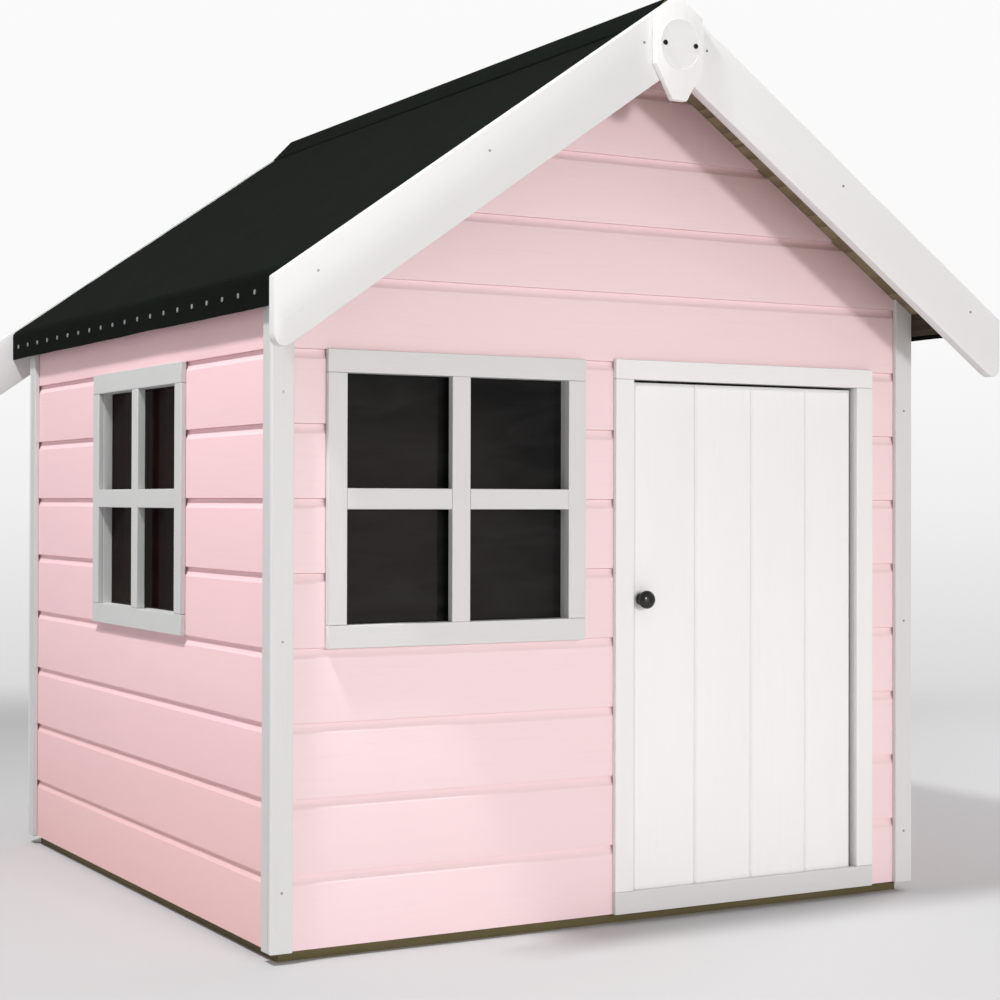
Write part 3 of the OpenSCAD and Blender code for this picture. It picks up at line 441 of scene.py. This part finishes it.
# ---- Windows --------------------------------------------------------------
# Each window is a hole in the boards with a lining, a clear acrylic pane held by
# beads from inside, four trims on the wall and halved bars across the front.
TRIM_EDGE = 1.3 * MM
TRIM_W = 32 * MM
TRIM_H = 35 * MM
BAR_W = 32 * MM
LINING_EDGE, BEAD_EDGE, PANE_EDGE = 0.8 * MM, 1.0 * MM, 0.3 * MM
FIT = 0.2 * MM
# The panes' base colours are painted shade of the dark room behind the clear sheet: near black at
# the front, dark red at the side.
PANE_ROOM_SHADE = {"front": ((0.007, 0.007, 0.007, 1), (0.015, 0.015, 0.015, 1)),
         "side": ((0.006, 0.0024, 0.0018, 1), (0.013, 0.005, 0.004, 1))}
PANE_GLOSS = {"front": 0.12, "side": 0.015}

front_low, front_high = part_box("front_window_trim_rails")
front_middle = (front_low + front_high) / 2
side_low, side_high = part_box("side_window_trim_rails")
side_middle = (side_low + side_high) / 2
wall_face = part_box("front_cladding")[0].y
side_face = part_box("left_cladding")[0].x
to_side = (Matrix.Translation((side_face, side_middle.y, side_middle.z))
           @ Matrix.Rotation(math.radians(-90), 4, "Z")
           @ Matrix.Translation((-front_middle.x, -wall_face, -front_middle.z)))


def window_pieces():
    """The front window's trims and bars, each with its grain's axis and CAD node."""
    out, wall = front_low.y, front_high.y
    bars_low, bars_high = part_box("front_window_bars")
    middle = front_middle
    made = []
    lower = blank("lower_trim", front_low, (front_high.x, wall, front_low.z + TRIM_H))
    round_sharp_edges(TRIM_EDGE)
    upper = moved_copy(lower, "upper_trim",
                       Matrix.Translation((0, 0, front_high.z - front_low.z - TRIM_H)))
    made += [(lower, "x", "trim_rails"), (upper, "x", "trim_rails")]
    left = blank("left_trim", (front_low.x, out, front_low.z + TRIM_H + FIT),
                 (front_low.x + TRIM_W, wall, front_high.z - TRIM_H - FIT))
    round_sharp_edges(TRIM_EDGE)
    right = moved_copy(left, "right_trim",
                       Matrix.Translation((front_high.x - front_low.x - TRIM_W, 0, 0)))
    made += [(left, "z", "trim_stiles"), (right, "z", "trim_stiles")]
    upright = blank("upright_bar", (middle.x - BAR_W / 2, bars_low.y, bars_low.z),
                    (middle.x + BAR_W / 2, bars_high.y, bars_high.z))
    round_sharp_edges(TRIM_EDGE)
    made.append((upright, "z", "bars"))
    cross = blank("left_cross_bar", (bars_low.x, bars_low.y, middle.z - BAR_W / 2),
                  (middle.x - BAR_W / 2 - FIT, bars_high.y, middle.z + BAR_W / 2))
    round_sharp_edges(TRIM_EDGE)
    other = moved_copy(cross, "right_cross_bar",
                       Matrix.Translation((middle.x + BAR_W / 2 + FIT - bars_low.x, 0, 0)))
    made += [(cross, "x", "bars"), (other, "x", "bars")]
    return made


def acrylic(name, colours, gloss, turn):
    """Clear sheet, glossy, hazy and gently waved, whose near-black base colour is painted shade of
    the dark room behind it.
    """
    material, shader = shader_of(name)
    shader.inputs["IOR"].default_value = 1.49
    shader.inputs["Specular IOR Level"].default_value = gloss
    waves = add_node(material, "ShaderNodeTexNoise",
                     {"Vector": grain_space(material, turn, 0.22, 0.16), "Scale": 1.0,
                      "Detail": 1.5})
    haze = add_node(material, "ShaderNodeTexNoise",
                    {"Vector": grain_space(material, turn, 0.16, 0.045), "Scale": 1.0,
                     "Detail": 4.0, "Distortion": 0.8})
    film = add_node(material, "ShaderNodeMapRange",
                    {"Value": haze.outputs["Fac"], "To Min": 0.03, "To Max": 0.25})
    link(material, film.outputs["Result"], shader.inputs["Roughness"])
    cloud = add_node(material, "ShaderNodeMapRange",
                     {"Value": haze.outputs["Fac"], "From Min": 0.35, "From Max": 0.7})
    link(material, blend_colours(material, cloud.outputs["Result"], *colours),
         shader.inputs["Base Color"])
    link(material, add_node(material, "ShaderNodeBump",
                            {"Height": waves.outputs["Fac"], "Strength": 0.6,
                             "Distance": 4 * MM}).outputs["Normal"], shader.inputs["Normal"])
    return material


for piece, axis, kind in window_pieces():
    copy = moved_copy(piece, "side_window_" + piece.name, to_side)
    fit(copy, side_white_shaded_along["y" if axis == "x" else axis], "side_window_" + kind)
    piece.name = "front_window_" + piece.name
    fit(piece, white_along[axis], "front_window_" + kind)
for window in ("front_window_", "side_window_"):
    fit(softened_copy(window + "lining", window + "lining_boards", LINING_EDGE),
        white_along["z"], window + "lining")
    fit(softened_copy(window + "beads", window + "glazing_beads", BEAD_EDGE),
        white_along["z"], window + "beads")
    wall = window.split("_")[0]
    fit(softened_copy(window + "pane", window + "acrylic_sheet", PANE_EDGE),
        acrylic("room_shade_acrylic_" + wall, PANE_ROOM_SHADE[wall], PANE_GLOSS[wall],
                ALONG["x" if wall == "front" else "y"]),
        window + "pane")

# ---- Door frame -----------------------------------------------------------
# A softwood sill and jambs fill the hole. The head, side and foot trims are
# nailed to the wall round it, and the foot trim laps the leaf and stops it.
DOOR_TRIM_W = 35 * MM
JAMB_EDGE = 1.0 * MM
# The door's head and side trims, and the finials, take a lighter copy of the same white: painted
# light.
FRAME_WHITE_LIT = ((0.86, 0.86, 0.86, 1), (0.90, 0.90, 0.90, 1))
frame_lit_along = {axis: painted("door_frame_white_along_" + axis, ALONG[axis], FRAME_WHITE_LIT, 0.4, 0.45)
               for axis in "xz"}

fit(softened_copy("door_jambs", "door_jamb_boards", JAMB_EDGE), white_along["z"], "door_jambs")
finish_nodes(["door_sill"], sawn_timber("sill_pine", ALONG["x"], RAW, 0.6))
for part, paint in (("head", frame_lit_along["x"]), ("foot", white_along["x"])):
    low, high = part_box("door_trim_" + part)
    rail = blank("door_%s_board" % part, low, high)
    round_sharp_edges(TRIM_EDGE)
    fit(rail, paint, "door_trim_" + part)
low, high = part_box("door_trim_sides")
left = blank("door_left_board", low, (low.x + DOOR_TRIM_W, high.y, high.z))
round_sharp_edges(TRIM_EDGE)
right = moved_copy(left, "door_right_board",
                   Matrix.Translation((high.x - low.x - DOOR_TRIM_W, 0, 0)))
for side in (left, right):
    fit(side, frame_lit_along["z"], "door_trim_sides")

# ---- Door leaf ------------------------------------------------------------
# Four upright boards with V joints, nailed to three ledges and painted white
# outside, in a lighter copy of the trims' white that is painted light. The ledges are bare pine.
# The leaf's white is lighter than the trims' white: painted light.
DOOR_WHITE_LIT = ((0.91, 0.91, 0.915, 1), (0.94, 0.94, 0.94, 1))
LEAF_EDGE, LEDGE_EDGE = 0.7 * MM, 1.2 * MM

fit(softened_copy("door_boards", "leaf_boards", LEAF_EDGE),
    painted("door_paint", ALONG["z"], DOOR_WHITE_LIT, 0.36, 0.5), "door_boards", body="door")
fit(softened_copy("door_ledges", "leaf_ledges", LEDGE_EDGE),
    sawn_timber("ledge_pine", ALONG["x"], RAW, 0.6), "door_ledges", body="door")

# ---- Door knob ------------------------------------------------------------
# A turned knob in gloss black plastic, with a foot, a waist and a flattened
# crown. One screw holds it from inside the room.
KNOB_PROFILE = ((9.4, 0), (9.9, 0.5), (9.9, 2.4), (9.3, 3.0), (8.0, 3.6), (7.5, 4.6),
                (7.5, 8.8), (8.4, 10.0), (11.6, 11.4), (13.6, 13.2), (14.8, 15.8),
                (15.0, 18.2), (14.4, 20.8), (12.9, 23.2), (10.2, 25.2), (6.2, 26.5),
                (2.4, 26.95), (0, 27.0))
KNOB_STEPS = 64
KNOB_BLACK = ((0.006, 0.006, 0.007, 1), (0.014, 0.014, 0.015, 1))

low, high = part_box("door_knob")
knob_x, knob_z = (low.x + high.x) / 2, (low.z + high.z) / 2
bpy.ops.mesh.primitive_plane_add(size=1 * MM, location=(0, 0, 0))
knob = bpy.context.object
knob.name = "turned_knob"
bpy.ops.object.mode_set(mode="EDIT")
bpy.ops.mesh.select_mode(type="VERT")
bpy.ops.mesh.select_all(action="SELECT")
bpy.ops.mesh.merge(type="CENTER")
last = Vector((0, 0, 0))
for radius, reach in KNOB_PROFILE:
    point = Vector((radius * MM, -reach * MM, 0))
    if radius == KNOB_PROFILE[0][0] and reach == 0:
        bpy.ops.transform.translate(value=point - last)
    else:
        bpy.ops.mesh.extrude_region_move(TRANSFORM_OT_translate={"value": point - last})
    last = point
bpy.ops.mesh.select_all(action="SELECT")
bpy.ops.mesh.spin(steps=KNOB_STEPS, angle=math.radians(360), center=(0, 0, 0), axis=(0, 1, 0))
bpy.ops.mesh.select_all(action="SELECT")
bpy.ops.mesh.remove_doubles(threshold=0.01 * MM)
bpy.ops.mesh.select_all(action="DESELECT")
bpy.ops.mesh.select_non_manifold()
bpy.ops.mesh.fill()
bpy.ops.mesh.select_all(action="SELECT")
bpy.ops.mesh.normals_make_consistent(inside=False)
bpy.ops.object.mode_set(mode="OBJECT")
knob.data.transform(Matrix.Translation((knob_x, high.y, knob_z)))
bpy.ops.object.shade_smooth_by_angle(angle=math.radians(40))

gloss_black, shader = shader_of("gloss_black_plastic")
smears = add_node(gloss_black, "ShaderNodeTexNoise",
                  {"Vector": grain_space(gloss_black, ALONG["x"], 0.012, 0.006),
                   "Scale": 1.0, "Detail": 3.0})
link(gloss_black, blend_colours(gloss_black, smears.outputs["Fac"], *KNOB_BLACK),
     shader.inputs["Base Color"])
link(gloss_black, add_node(gloss_black, "ShaderNodeMapRange",
                           {"Value": smears.outputs["Fac"], "To Min": 0.12,
                            "To Max": 0.26}).outputs["Result"], shader.inputs["Roughness"])
link(gloss_black, add_node(gloss_black, "ShaderNodeBump",
                           {"Height": smears.outputs["Fac"], "Strength": 0.1,
                            "Distance": 0.3 * MM}).outputs["Normal"], shader.inputs["Normal"])
fit(knob, gloss_black, "door_knob", body="door")

# ---- Hinges ---------------------------------------------------------------
# Two pressed strap hinges inside the room, zinc plated, each with a pin through
# three knuckles. Cross-head screws hold the straps, the plates and the knob.


def plated_metal(name, colours, cell, rough):
    """Zinc over steel: crystals of slightly different brightness, and handling marks."""
    material, shader = shader_of(name)
    space = grain_space(material, ALONG["x"], cell, cell)
    spangle = add_node(material, "ShaderNodeTexVoronoi", {"Vector": space, "Scale": 1.0})
    grey = add_node(material, "ShaderNodeSeparateColor", {"Color": spangle.outputs["Color"]})
    marks = add_node(material, "ShaderNodeTexNoise",
                     {"Vector": space, "Scale": 3.0, "Detail": 5.0})
    link(material, blend_colours(material, grey.outputs["Red"], colours[0], colours[1]),
         shader.inputs["Base Color"])
    link(material, add_node(material, "ShaderNodeMapRange",
                            {"Value": marks.outputs["Fac"], "To Min": rough - 0.08,
                             "To Max": rough + 0.15}).outputs["Result"],
         shader.inputs["Roughness"])
    link(material, add_node(material, "ShaderNodeBump",
                            {"Height": marks.outputs["Fac"], "Strength": 0.15,
                             "Distance": 0.1 * MM}).outputs["Normal"],
         shader.inputs["Normal"])
    shader.inputs["Metallic"].default_value = 1.0
    return material


ZINC = ((0.45, 0.46, 0.48, 1), (0.62, 0.63, 0.64, 1))
PLATING_CELL = 2 * MM
STEEL_EDGE = 0.25 * MM
SCREW_DOME, RECESS_LENGTH, RECESS_WIDTH = 0.45, 0.56, 0.13
zinc = plated_metal("zinc_plate", ZINC, PLATING_CELL, 0.32)
for node in ("door_hinge_plates", "door_hinge_pins"):
    fit(softened_copy(node, node.replace("door", "steel"), STEEL_EDGE, 1), zinc, node)
fit(softened_copy("door_hinge_straps", "steel_hinge_straps", STEEL_EDGE, 1), zinc,
    "door_hinge_straps", body="door")


def screw_head(name, diameter, height):
    """One screw head at the origin, with a cross recess in its face towards +Z."""
    bpy.ops.object.select_all(action="DESELECT")
    bpy.ops.mesh.primitive_cylinder_add(vertices=32, radius=diameter / 2, depth=height,
                                        location=(0, 0, height / 2))
    head = bpy.context.object
    head.name = name
    bpy.ops.object.transform_apply(location=True, rotation=True, scale=True)
    bpy.ops.object.mode_set(mode="EDIT")
    bpy.ops.mesh.select_mode(type="EDGE")
    bpy.ops.mesh.select_all(action="DESELECT")
    form = bmesh.from_edit_mesh(head.data)
    for edge in form.edges:
        edge.select = all(v.co.z > height / 2 for v in edge.verts)
    form.select_flush_mode()
    bmesh.update_edit_mesh(head.data)
    bpy.ops.mesh.bevel(offset=height * SCREW_DOME, segments=3, affect="EDGES")
    bpy.ops.object.mode_set(mode="OBJECT")
    for turn in (0, 90):
        bpy.ops.mesh.primitive_cube_add(size=1, location=(0, 0, height),
                                        rotation=(0, 0, math.radians(turn)))
        cutter = bpy.context.object
        cutter.scale = (diameter * RECESS_LENGTH, diameter * RECESS_WIDTH, height * 1.1)
        bpy.ops.object.transform_apply(location=True, rotation=True, scale=True)
        bpy.context.view_layer.objects.active = head
        slotting = head.modifiers.new("recess", "BOOLEAN")
        slotting.object = cutter
        slotting.operation = "DIFFERENCE"
        slotting.solver = "EXACT"
        bpy.ops.object.modifier_apply(modifier=slotting.name)
        bpy.data.objects.remove(cutter)
    bpy.ops.object.select_all(action="DESELECT")
    head.select_set(True)
    bpy.context.view_layer.objects.active = head
    bpy.ops.object.shade_smooth_by_angle(angle=math.radians(35))
    return head


def joined(name, pieces):
    """Several small fixings of one kind, kept together as one piece."""
    bpy.ops.object.select_all(action="DESELECT")
    for piece in pieces:
        piece.select_set(True)
    bpy.context.view_layer.objects.active = pieces[0]
    bpy.ops.object.join()
    pieces[0].name = name
    return pieces[0]


def islands(node):
    """The middle of each separate solid of a CAD node."""
    form = bmesh.new()
    form.from_mesh(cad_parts[node].data)
    bmesh.ops.remove_doubles(form, verts=form.verts, dist=0.005 * MM)
    seen, middles = set(), []
    for start in form.verts:
        if start in seen:
            continue
        group, wait = [], [start]
        seen.add(start)
        while wait:
            here = wait.pop()
            group.append(here.co.copy())
            for edge in here.link_edges:
                there = edge.other_vert(here)
                if there not in seen:
                    seen.add(there)
                    wait.append(there)
        low = Vector([min(v[i] for v in group) for i in range(3)])
        high = Vector([max(v[i] for v in group) for i in range(3)])
        middles.append((low + high) / 2)
    form.free()
    return sorted(middles, key=lambda v: (round(v.z, 4), round(v.x, 4), round(v.y, 4)))


INWARDS = Matrix.Rotation(math.radians(-90), 4, "X")
SCREW_D, SCREW_H = 7 * MM, 1.8 * MM
SCREW_TURN = math.radians(37)
for node, name, body in (("door_strap_screws", "strap_screws", "door"),
                         ("door_plate_screws", "plate_screws", "house")):
    heads = []
    pattern = screw_head(name, SCREW_D, SCREW_H)
    for number, middle in enumerate(islands(node)):
        turn = Matrix.Rotation(SCREW_TURN * number, 4, "Z")
        place = Matrix.Translation(middle - Vector((0, SCREW_H / 2, 0))) @ INWARDS @ turn
        heads.append(moved_copy(pattern, name, place))
    bpy.data.objects.remove(pattern)
    fit(joined(name, heads), zinc, node, body=body)
finish_nodes(["door_knob_screw"], zinc)

# ---- Roof boards and battens ----------------------------------------------
# Treated boards run the length of the roof, with a batten along each eave
# that the felt turns down over. Their undersides show behind the barge boards.
ROOF_TIMBER = ((0.20, 0.155, 0.09, 1), (0.36, 0.29, 0.18, 1))
BATTEN = ((0.045, 0.038, 0.022, 1), (0.09, 0.075, 0.045, 1))
finish_nodes(["left_roof_boards", "right_roof_boards", "ridge_roll"],
             sawn_timber("roof_timber", ALONG["y"], ROOF_TIMBER, 0.8))
finish_nodes(["eave_battens"], sawn_timber("batten_timber", ALONG["y"], BATTEN, 0.8))

# ---- Roofing felt ---------------------------------------------------------
# One sheet of mineral felt for each slope, turned down over the eave. It lies
# a little unevenly, and its lower edge isn't quite straight.
FELT = ((0.0024, 0.0037, 0.0027, 1), (0.0054, 0.0080, 0.0060, 1))
FELT_GREY = (0.018, 0.024, 0.020, 1)
FELT_T = 3 * MM
FELT_BEND_R = 17 * MM
SLOPE = math.radians(35)
STEPS_DOWN, STEPS_BEND, STEPS_FACE, STEPS_ALONG = 36, 6, 5, 72
WAVE_RISE, RIPPLE_RISE, MOST_DIP = 1.5 * MM, 0.5 * MM, 0.3 * MM
WAVES_ALONG, WAVES_DOWN = 3.2, 0.16
EDGE_WANDER, EDGE_WAVES = 1.6 * MM, 7
RIDGE_FELT_EDGE = 1.0 * MM


def felt_material():
    """Black-green mineral granules in bitumen, matt, with paler scuffs."""
    material, shader = shader_of("mineral_felt")
    space = grain_space(material, ALONG["x"], 1.0, 1.0)
    grains = add_node(material, "ShaderNodeTexVoronoi", {"Vector": space, "Scale": 620.0})
    grey = add_node(material, "ShaderNodeSeparateColor", {"Color": grains.outputs["Color"]})
    patches = add_node(material, "ShaderNodeTexNoise",
                       {"Vector": space, "Scale": 9.0, "Detail": 6.0, "Roughness": 0.6})
    base = blend_colours(material, patches.outputs["Fac"], FELT[0], FELT[1])
    bright = add_node(material, "ShaderNodeMapRange",
                      {"Value": grey.outputs["Red"], "From Min": 0.62, "From Max": 1.0,
                       "To Max": 0.22})
    link(material, blend_colours(material, bright.outputs["Result"], base, FELT_GREY),
         shader.inputs["Base Color"])
    bump = add_node(material, "ShaderNodeBump",
                    {"Height": grains.outputs["Distance"], "Strength": 0.55,
                     "Distance": 0.7 * MM})
    link(material, bump.outputs["Normal"], shader.inputs["Normal"])
    shader.inputs["Roughness"].default_value = 0.92
    shader.inputs["Specular IOR Level"].default_value = 0.05
    return material


def felt_line(low, high):
    """Places down the sheet's outer face, each with the direction that faces out."""
    slope_out = Vector((math.sin(SLOPE), 0, math.cos(SLOPE)))
    down = Vector((math.cos(SLOPE), 0, -math.sin(SLOPE)))
    start = Vector((low.x, 0, high.z))
    turn_x = high.x - FELT_BEND_R + FELT_BEND_R * math.sin(SLOPE)
    length = (turn_x - low.x) / math.cos(SLOPE)
    line = [(start + down * length * i / STEPS_DOWN, slope_out) for i in range(STEPS_DOWN)]
    hub = start + down * length - slope_out * FELT_BEND_R
    for i in range(STEPS_BEND + 1):
        angle = math.pi / 2 - SLOPE - (math.pi / 2 - SLOPE) * i / STEPS_BEND
        out = Vector((math.cos(angle), 0, math.sin(angle)))
        line.append((hub + out * FELT_BEND_R, out))
    for i in range(1, STEPS_FACE + 1):
        line.append((Vector((high.x, 0, hub.z + (low.z - hub.z) * i / STEPS_FACE)),
                     Vector((1, 0, 0))))
    return line


def felt_sheet(name, low, high):
    """A sheet laid down the right-hand slope, waved by a millimetre or so."""
    line = felt_line(low, high)
    bpy.ops.object.select_all(action="DESELECT")
    bpy.ops.mesh.primitive_grid_add(x_subdivisions=len(line) - 1,
                                    y_subdivisions=STEPS_ALONG, size=1)
    sheet = bpy.context.object
    sheet.name = name
    columns = sorted({round(v.co.x, 5) for v in sheet.data.vertices})
    for vertex in sheet.data.vertices:
        step = columns.index(round(vertex.co.x, 5))
        y = low.y + (vertex.co.y + 0.5) * (high.y - low.y)
        place, out = line[step]
        spot = Vector((0, y * WAVES_ALONG, step * WAVES_DOWN))
        rise = WAVE_RISE * max(0.0, noise.noise(spot)) + RIPPLE_RISE * noise.noise(spot * 4)
        if step == 0:
            rise = 0
        point = place + out * max(rise, -MOST_DIP)
        if step == len(line) - 1:
            point.z += EDGE_WANDER * noise.noise(Vector((3.7, y * EDGE_WAVES, 0)))
        vertex.co = (point.x, y, point.z)
    wall = sheet.modifiers.new("thickness", "SOLIDIFY")
    wall.thickness = FELT_T
    wall.offset = -1
    bpy.ops.object.modifier_apply(modifier=wall.name)
    bpy.ops.object.mode_set(mode="EDIT")
    bpy.ops.mesh.select_all(action="SELECT")
    bpy.ops.mesh.normals_make_consistent(inside=False)
    bpy.ops.object.mode_set(mode="OBJECT")
    bpy.ops.object.shade_smooth_by_angle(angle=math.radians(40))
    return sheet


felt = felt_material()
low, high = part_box("right_roof_felt")
right_sheet = felt_sheet("right_felt_sheet", low, high)
left_sheet = moved_copy(right_sheet, "left_felt_sheet", MIRROR_X)
fit(right_sheet, felt, "right_roof_felt")
fit(left_sheet, felt, "left_roof_felt")
fit(softened_copy("ridge_felt", "ridge_felt_strip", RIDGE_FELT_EDGE), felt, "ridge_felt")

# ---- Clout nails ----------------------------------------------------------
# Galvanised nails with wide flat heads hold the felt to the eave battens, in a
# row along each turned-down face.
NAIL_D, NAIL_H = 8 * MM, 1.2 * MM
NAIL_RIM, NAIL_STEP, NAIL_DISH = 0.09 * NAIL_D, 0.12 * NAIL_D, 0.3 * NAIL_H
NAIL_TILT = math.radians(4)
SPANGLE = 3 * MM
GALVANISED = ((0.42, 0.44, 0.44, 1), (0.66, 0.68, 0.68, 1))

galvanised = plated_metal("galvanised_steel", GALVANISED, SPANGLE, 0.42)
heads = {-1: [], 1: []}
for middle in islands("clout_nails"):
    side = 1 if middle.x > 0 else -1
    tilt = Matrix.Rotation(NAIL_TILT * noise.noise(middle * 40), 4, "Y")
    place = (Matrix.Translation(middle - Vector((side * NAIL_H / 2, 0, 0)))
             @ Matrix.Rotation(math.radians(90 * side), 4, "Y") @ tilt)
    if not heads[-1] and not heads[1]:
        bpy.ops.object.select_all(action="DESELECT")
        bpy.ops.mesh.primitive_cylinder_add(vertices=16, radius=NAIL_D / 2, depth=NAIL_H,
                                            location=(0, 0, NAIL_H / 2))
        pattern = bpy.context.object
        bpy.ops.object.transform_apply(location=True, rotation=True, scale=True)
        bpy.ops.object.mode_set(mode="EDIT")
        bpy.ops.mesh.select_mode(type="FACE")
        bpy.ops.mesh.select_all(action="DESELECT")
        form = bmesh.from_edit_mesh(pattern.data)
        for face in form.faces:
            face.select = face.normal.z > 0.9
        bmesh.update_edit_mesh(pattern.data)
        bpy.ops.mesh.inset(thickness=NAIL_RIM)
        bpy.ops.mesh.inset(thickness=NAIL_STEP, depth=NAIL_DISH)
        bpy.ops.object.mode_set(mode="OBJECT")
        bpy.ops.object.shade_smooth_by_angle(angle=math.radians(60))
    heads[side].append(moved_copy(pattern, "nail", place))
bpy.data.objects.remove(pattern)
for side, name in ((-1, "left_clout_nails"), (1, "right_clout_nails")):
    fit(joined(name, heads[side]), galvanised, "clout_nails")

# ---- Barge boards ---------------------------------------------------------
# White boards nailed to the ends of the roof, plumb cut, with the lower corner
# of each rounded off. They stand a little above the felt.
BARGE_H = 113 * MM
BARGE_CORNER_R = 18 * MM
BARGE_EDGE = 2 * MM
MITRE_GAP = 0.5 * MM
BARGE_CORNER_TURN = math.radians(90) + SLOPE
BARGE_WHITE = ((0.78, 0.78, 0.78, 1), (0.82, 0.82, 0.82, 1))

white_slope = {"left": painted("white_paint_left_slope", (0, -SLOPE, 0), BARGE_WHITE, 0.4),
               "right": painted("white_paint_right_slope", (0, SLOPE, 0), BARGE_WHITE, 0.4)}
low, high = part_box("front_barge_boards")
run = high.x
apex = high.z
gap = MITRE_GAP / 2
board = blank("right_barge", (gap, low.y, apex - run * math.tan(SLOPE) - BARGE_H),
              (run, high.y, apex + 10 * MM))
saw((0, 0, apex + gap * math.tan(SLOPE)), (math.sin(SLOPE), 0, math.cos(SLOPE)))
saw((0, 0, apex + gap * math.tan(SLOPE) - BARGE_H), (-math.sin(SLOPE), 0, -math.cos(SLOPE)))
bpy.ops.object.mode_set(mode="EDIT")
bpy.ops.mesh.select_mode(type="EDGE")
bpy.ops.mesh.select_all(action="DESELECT")
form = bmesh.from_edit_mesh(board.data)
lowest = min(v.co.z for v in form.verts)
for edge in form.edges:
    edge.select = all(v.co.z < lowest + MM for v in edge.verts)
form.select_flush_mode()
bmesh.update_edit_mesh(board.data)
bpy.ops.mesh.bevel(offset=BARGE_CORNER_R * math.tan(BARGE_CORNER_TURN / 2), segments=16,
                   affect="EDGES")
bpy.ops.object.mode_set(mode="OBJECT")
round_sharp_edges(BARGE_EDGE, 3, 40)
rear_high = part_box("rear_barge_boards")[1]
to_rear = Matrix.Translation((0, rear_high.y - high.y, rear_high.z - high.z))
for end, place in (("front", Matrix.Identity(4)), ("rear", to_rear)):
    for side, hand in (("left", MIRROR_X), ("right", Matrix.Identity(4))):
        fit(moved_copy(board, "%s_%s_barge" % (end, side), place @ hand),
            white_slope[side], end + "_barge_boards")
bpy.data.objects.remove(board)

# ---- Finials --------------------------------------------------------------
# A shaped plate covers the joint of the barge boards at each end of the roof.
# The front one carries a blank oval plaque held by two black screws.
FINIAL_TAPER = 55 * MM
FINIAL_FOOT_W = 27 * MM
FINIAL_EDGE = 2 * MM
PLAQUE_RIM, PLAQUE_STEP, PLAQUE_DISH = 1.6 * MM, 0.5 * MM, 0.35 * MM
ENAMEL = ((0.84, 0.84, 0.84, 1), (0.88, 0.88, 0.875, 1))
SCREW_BLACK = ((0.02, 0.02, 0.022, 1), (0.04, 0.04, 0.042, 1))

low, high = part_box("front_finial")
half = high.x
plate = blank("front_finial_plate", low, high)
for side in (-1, 1):
    saw((0, 0, high.z), (side * math.sin(SLOPE), 0, math.cos(SLOPE)))
    foot = Vector((side * FINIAL_FOOT_W / 2, 0, low.z))
    shoulder = Vector((side * half, 0, low.z + FINIAL_TAPER))
    edge = shoulder - foot
    saw(foot, (side * edge.z, 0, -side * edge.x))
round_sharp_edges(FINIAL_EDGE, 3)
rear_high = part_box("rear_finial")[1]
rear_plate = moved_copy(plate, "rear_finial_plate",
                        Matrix.Translation((0, rear_high.y - high.y, rear_high.z - high.z)))
# The finial plates use the lighter copy of the white, which is painted light.
finial_lit_paint = painted("lit_white_paint_finial", ALONG["z"], FRAME_WHITE_LIT, 0.4)
fit(plate, finial_lit_paint, "front_finial")
fit(rear_plate, finial_lit_paint, "rear_finial")

low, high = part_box("finial_plaque")
middle = (low + high) / 2
bpy.ops.object.select_all(action="DESELECT")
bpy.ops.mesh.primitive_cylinder_add(vertices=96, radius=0.5, depth=high.y - low.y,
                                    location=middle, rotation=(math.radians(90), 0, 0))
plaque = bpy.context.object
plaque.name = "oval_plaque"
plaque.scale = (high.x - low.x, high.z - low.z, 1)
bpy.ops.object.transform_apply(location=True, rotation=True, scale=True)
bpy.ops.object.mode_set(mode="EDIT")
bpy.ops.mesh.select_mode(type="FACE")
bpy.ops.mesh.select_all(action="DESELECT")
form = bmesh.from_edit_mesh(plaque.data)
for face in form.faces:
    face.select = face.normal.y < -0.9
bmesh.update_edit_mesh(plaque.data)
bpy.ops.mesh.inset(thickness=PLAQUE_RIM, depth=0)
bpy.ops.mesh.inset(thickness=PLAQUE_STEP, depth=-PLAQUE_DISH)
bpy.ops.object.mode_set(mode="OBJECT")
round_sharp_edges(0.25 * MM, 2, 50)
enamel, shader = shader_of("plaque_enamel")
cloud = add_node(enamel, "ShaderNodeTexNoise",
                 {"Vector": grain_space(enamel, ALONG["x"], 0.02, 0.02), "Scale": 1.0,
                  "Detail": 3.0})
link(enamel, blend_colours(enamel, cloud.outputs["Fac"], *ENAMEL),
     shader.inputs["Base Color"])
link(enamel, add_node(enamel, "ShaderNodeMapRange",
                      {"Value": cloud.outputs["Fac"], "To Min": 0.2,
                       "To Max": 0.32}).outputs["Result"], shader.inputs["Roughness"])
fit(plaque, enamel, "finial_plaque")

blackened = plated_metal("blackened_steel", SCREW_BLACK, PLATING_CELL, 0.35)
OUTWARDS = Matrix.Rotation(math.radians(90), 4, "X")
low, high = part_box("finial_screws")
heads = []
pattern = screw_head("finial_screw", 8 * MM, high.y - low.y)
for number, middle in enumerate(islands("finial_screws")):
    place = (Matrix.Translation((middle.x, high.y, middle.z)) @ OUTWARDS
             @ Matrix.Rotation(math.radians(25 + 50 * number), 4, "Z"))
    heads.append(moved_copy(pattern, "finial_screw_head", place))
bpy.data.objects.remove(pattern)
fit(joined("finial_screw_heads", heads), blackened, "finial_screws")

# ---- Panel pins -----------------------------------------------------------
# Small steel pins, their heads just proud of the paint, hold the barge boards
# and the corner strips.
PIN_STEEL = ((0.25, 0.25, 0.26, 1), (0.4, 0.4, 0.41, 1))
finish_nodes(["panel_pins"], plated_metal("pin_steel", PIN_STEEL, MM, 0.4))

bpy.ops.object.select_all(action="DESELECT")
low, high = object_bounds()
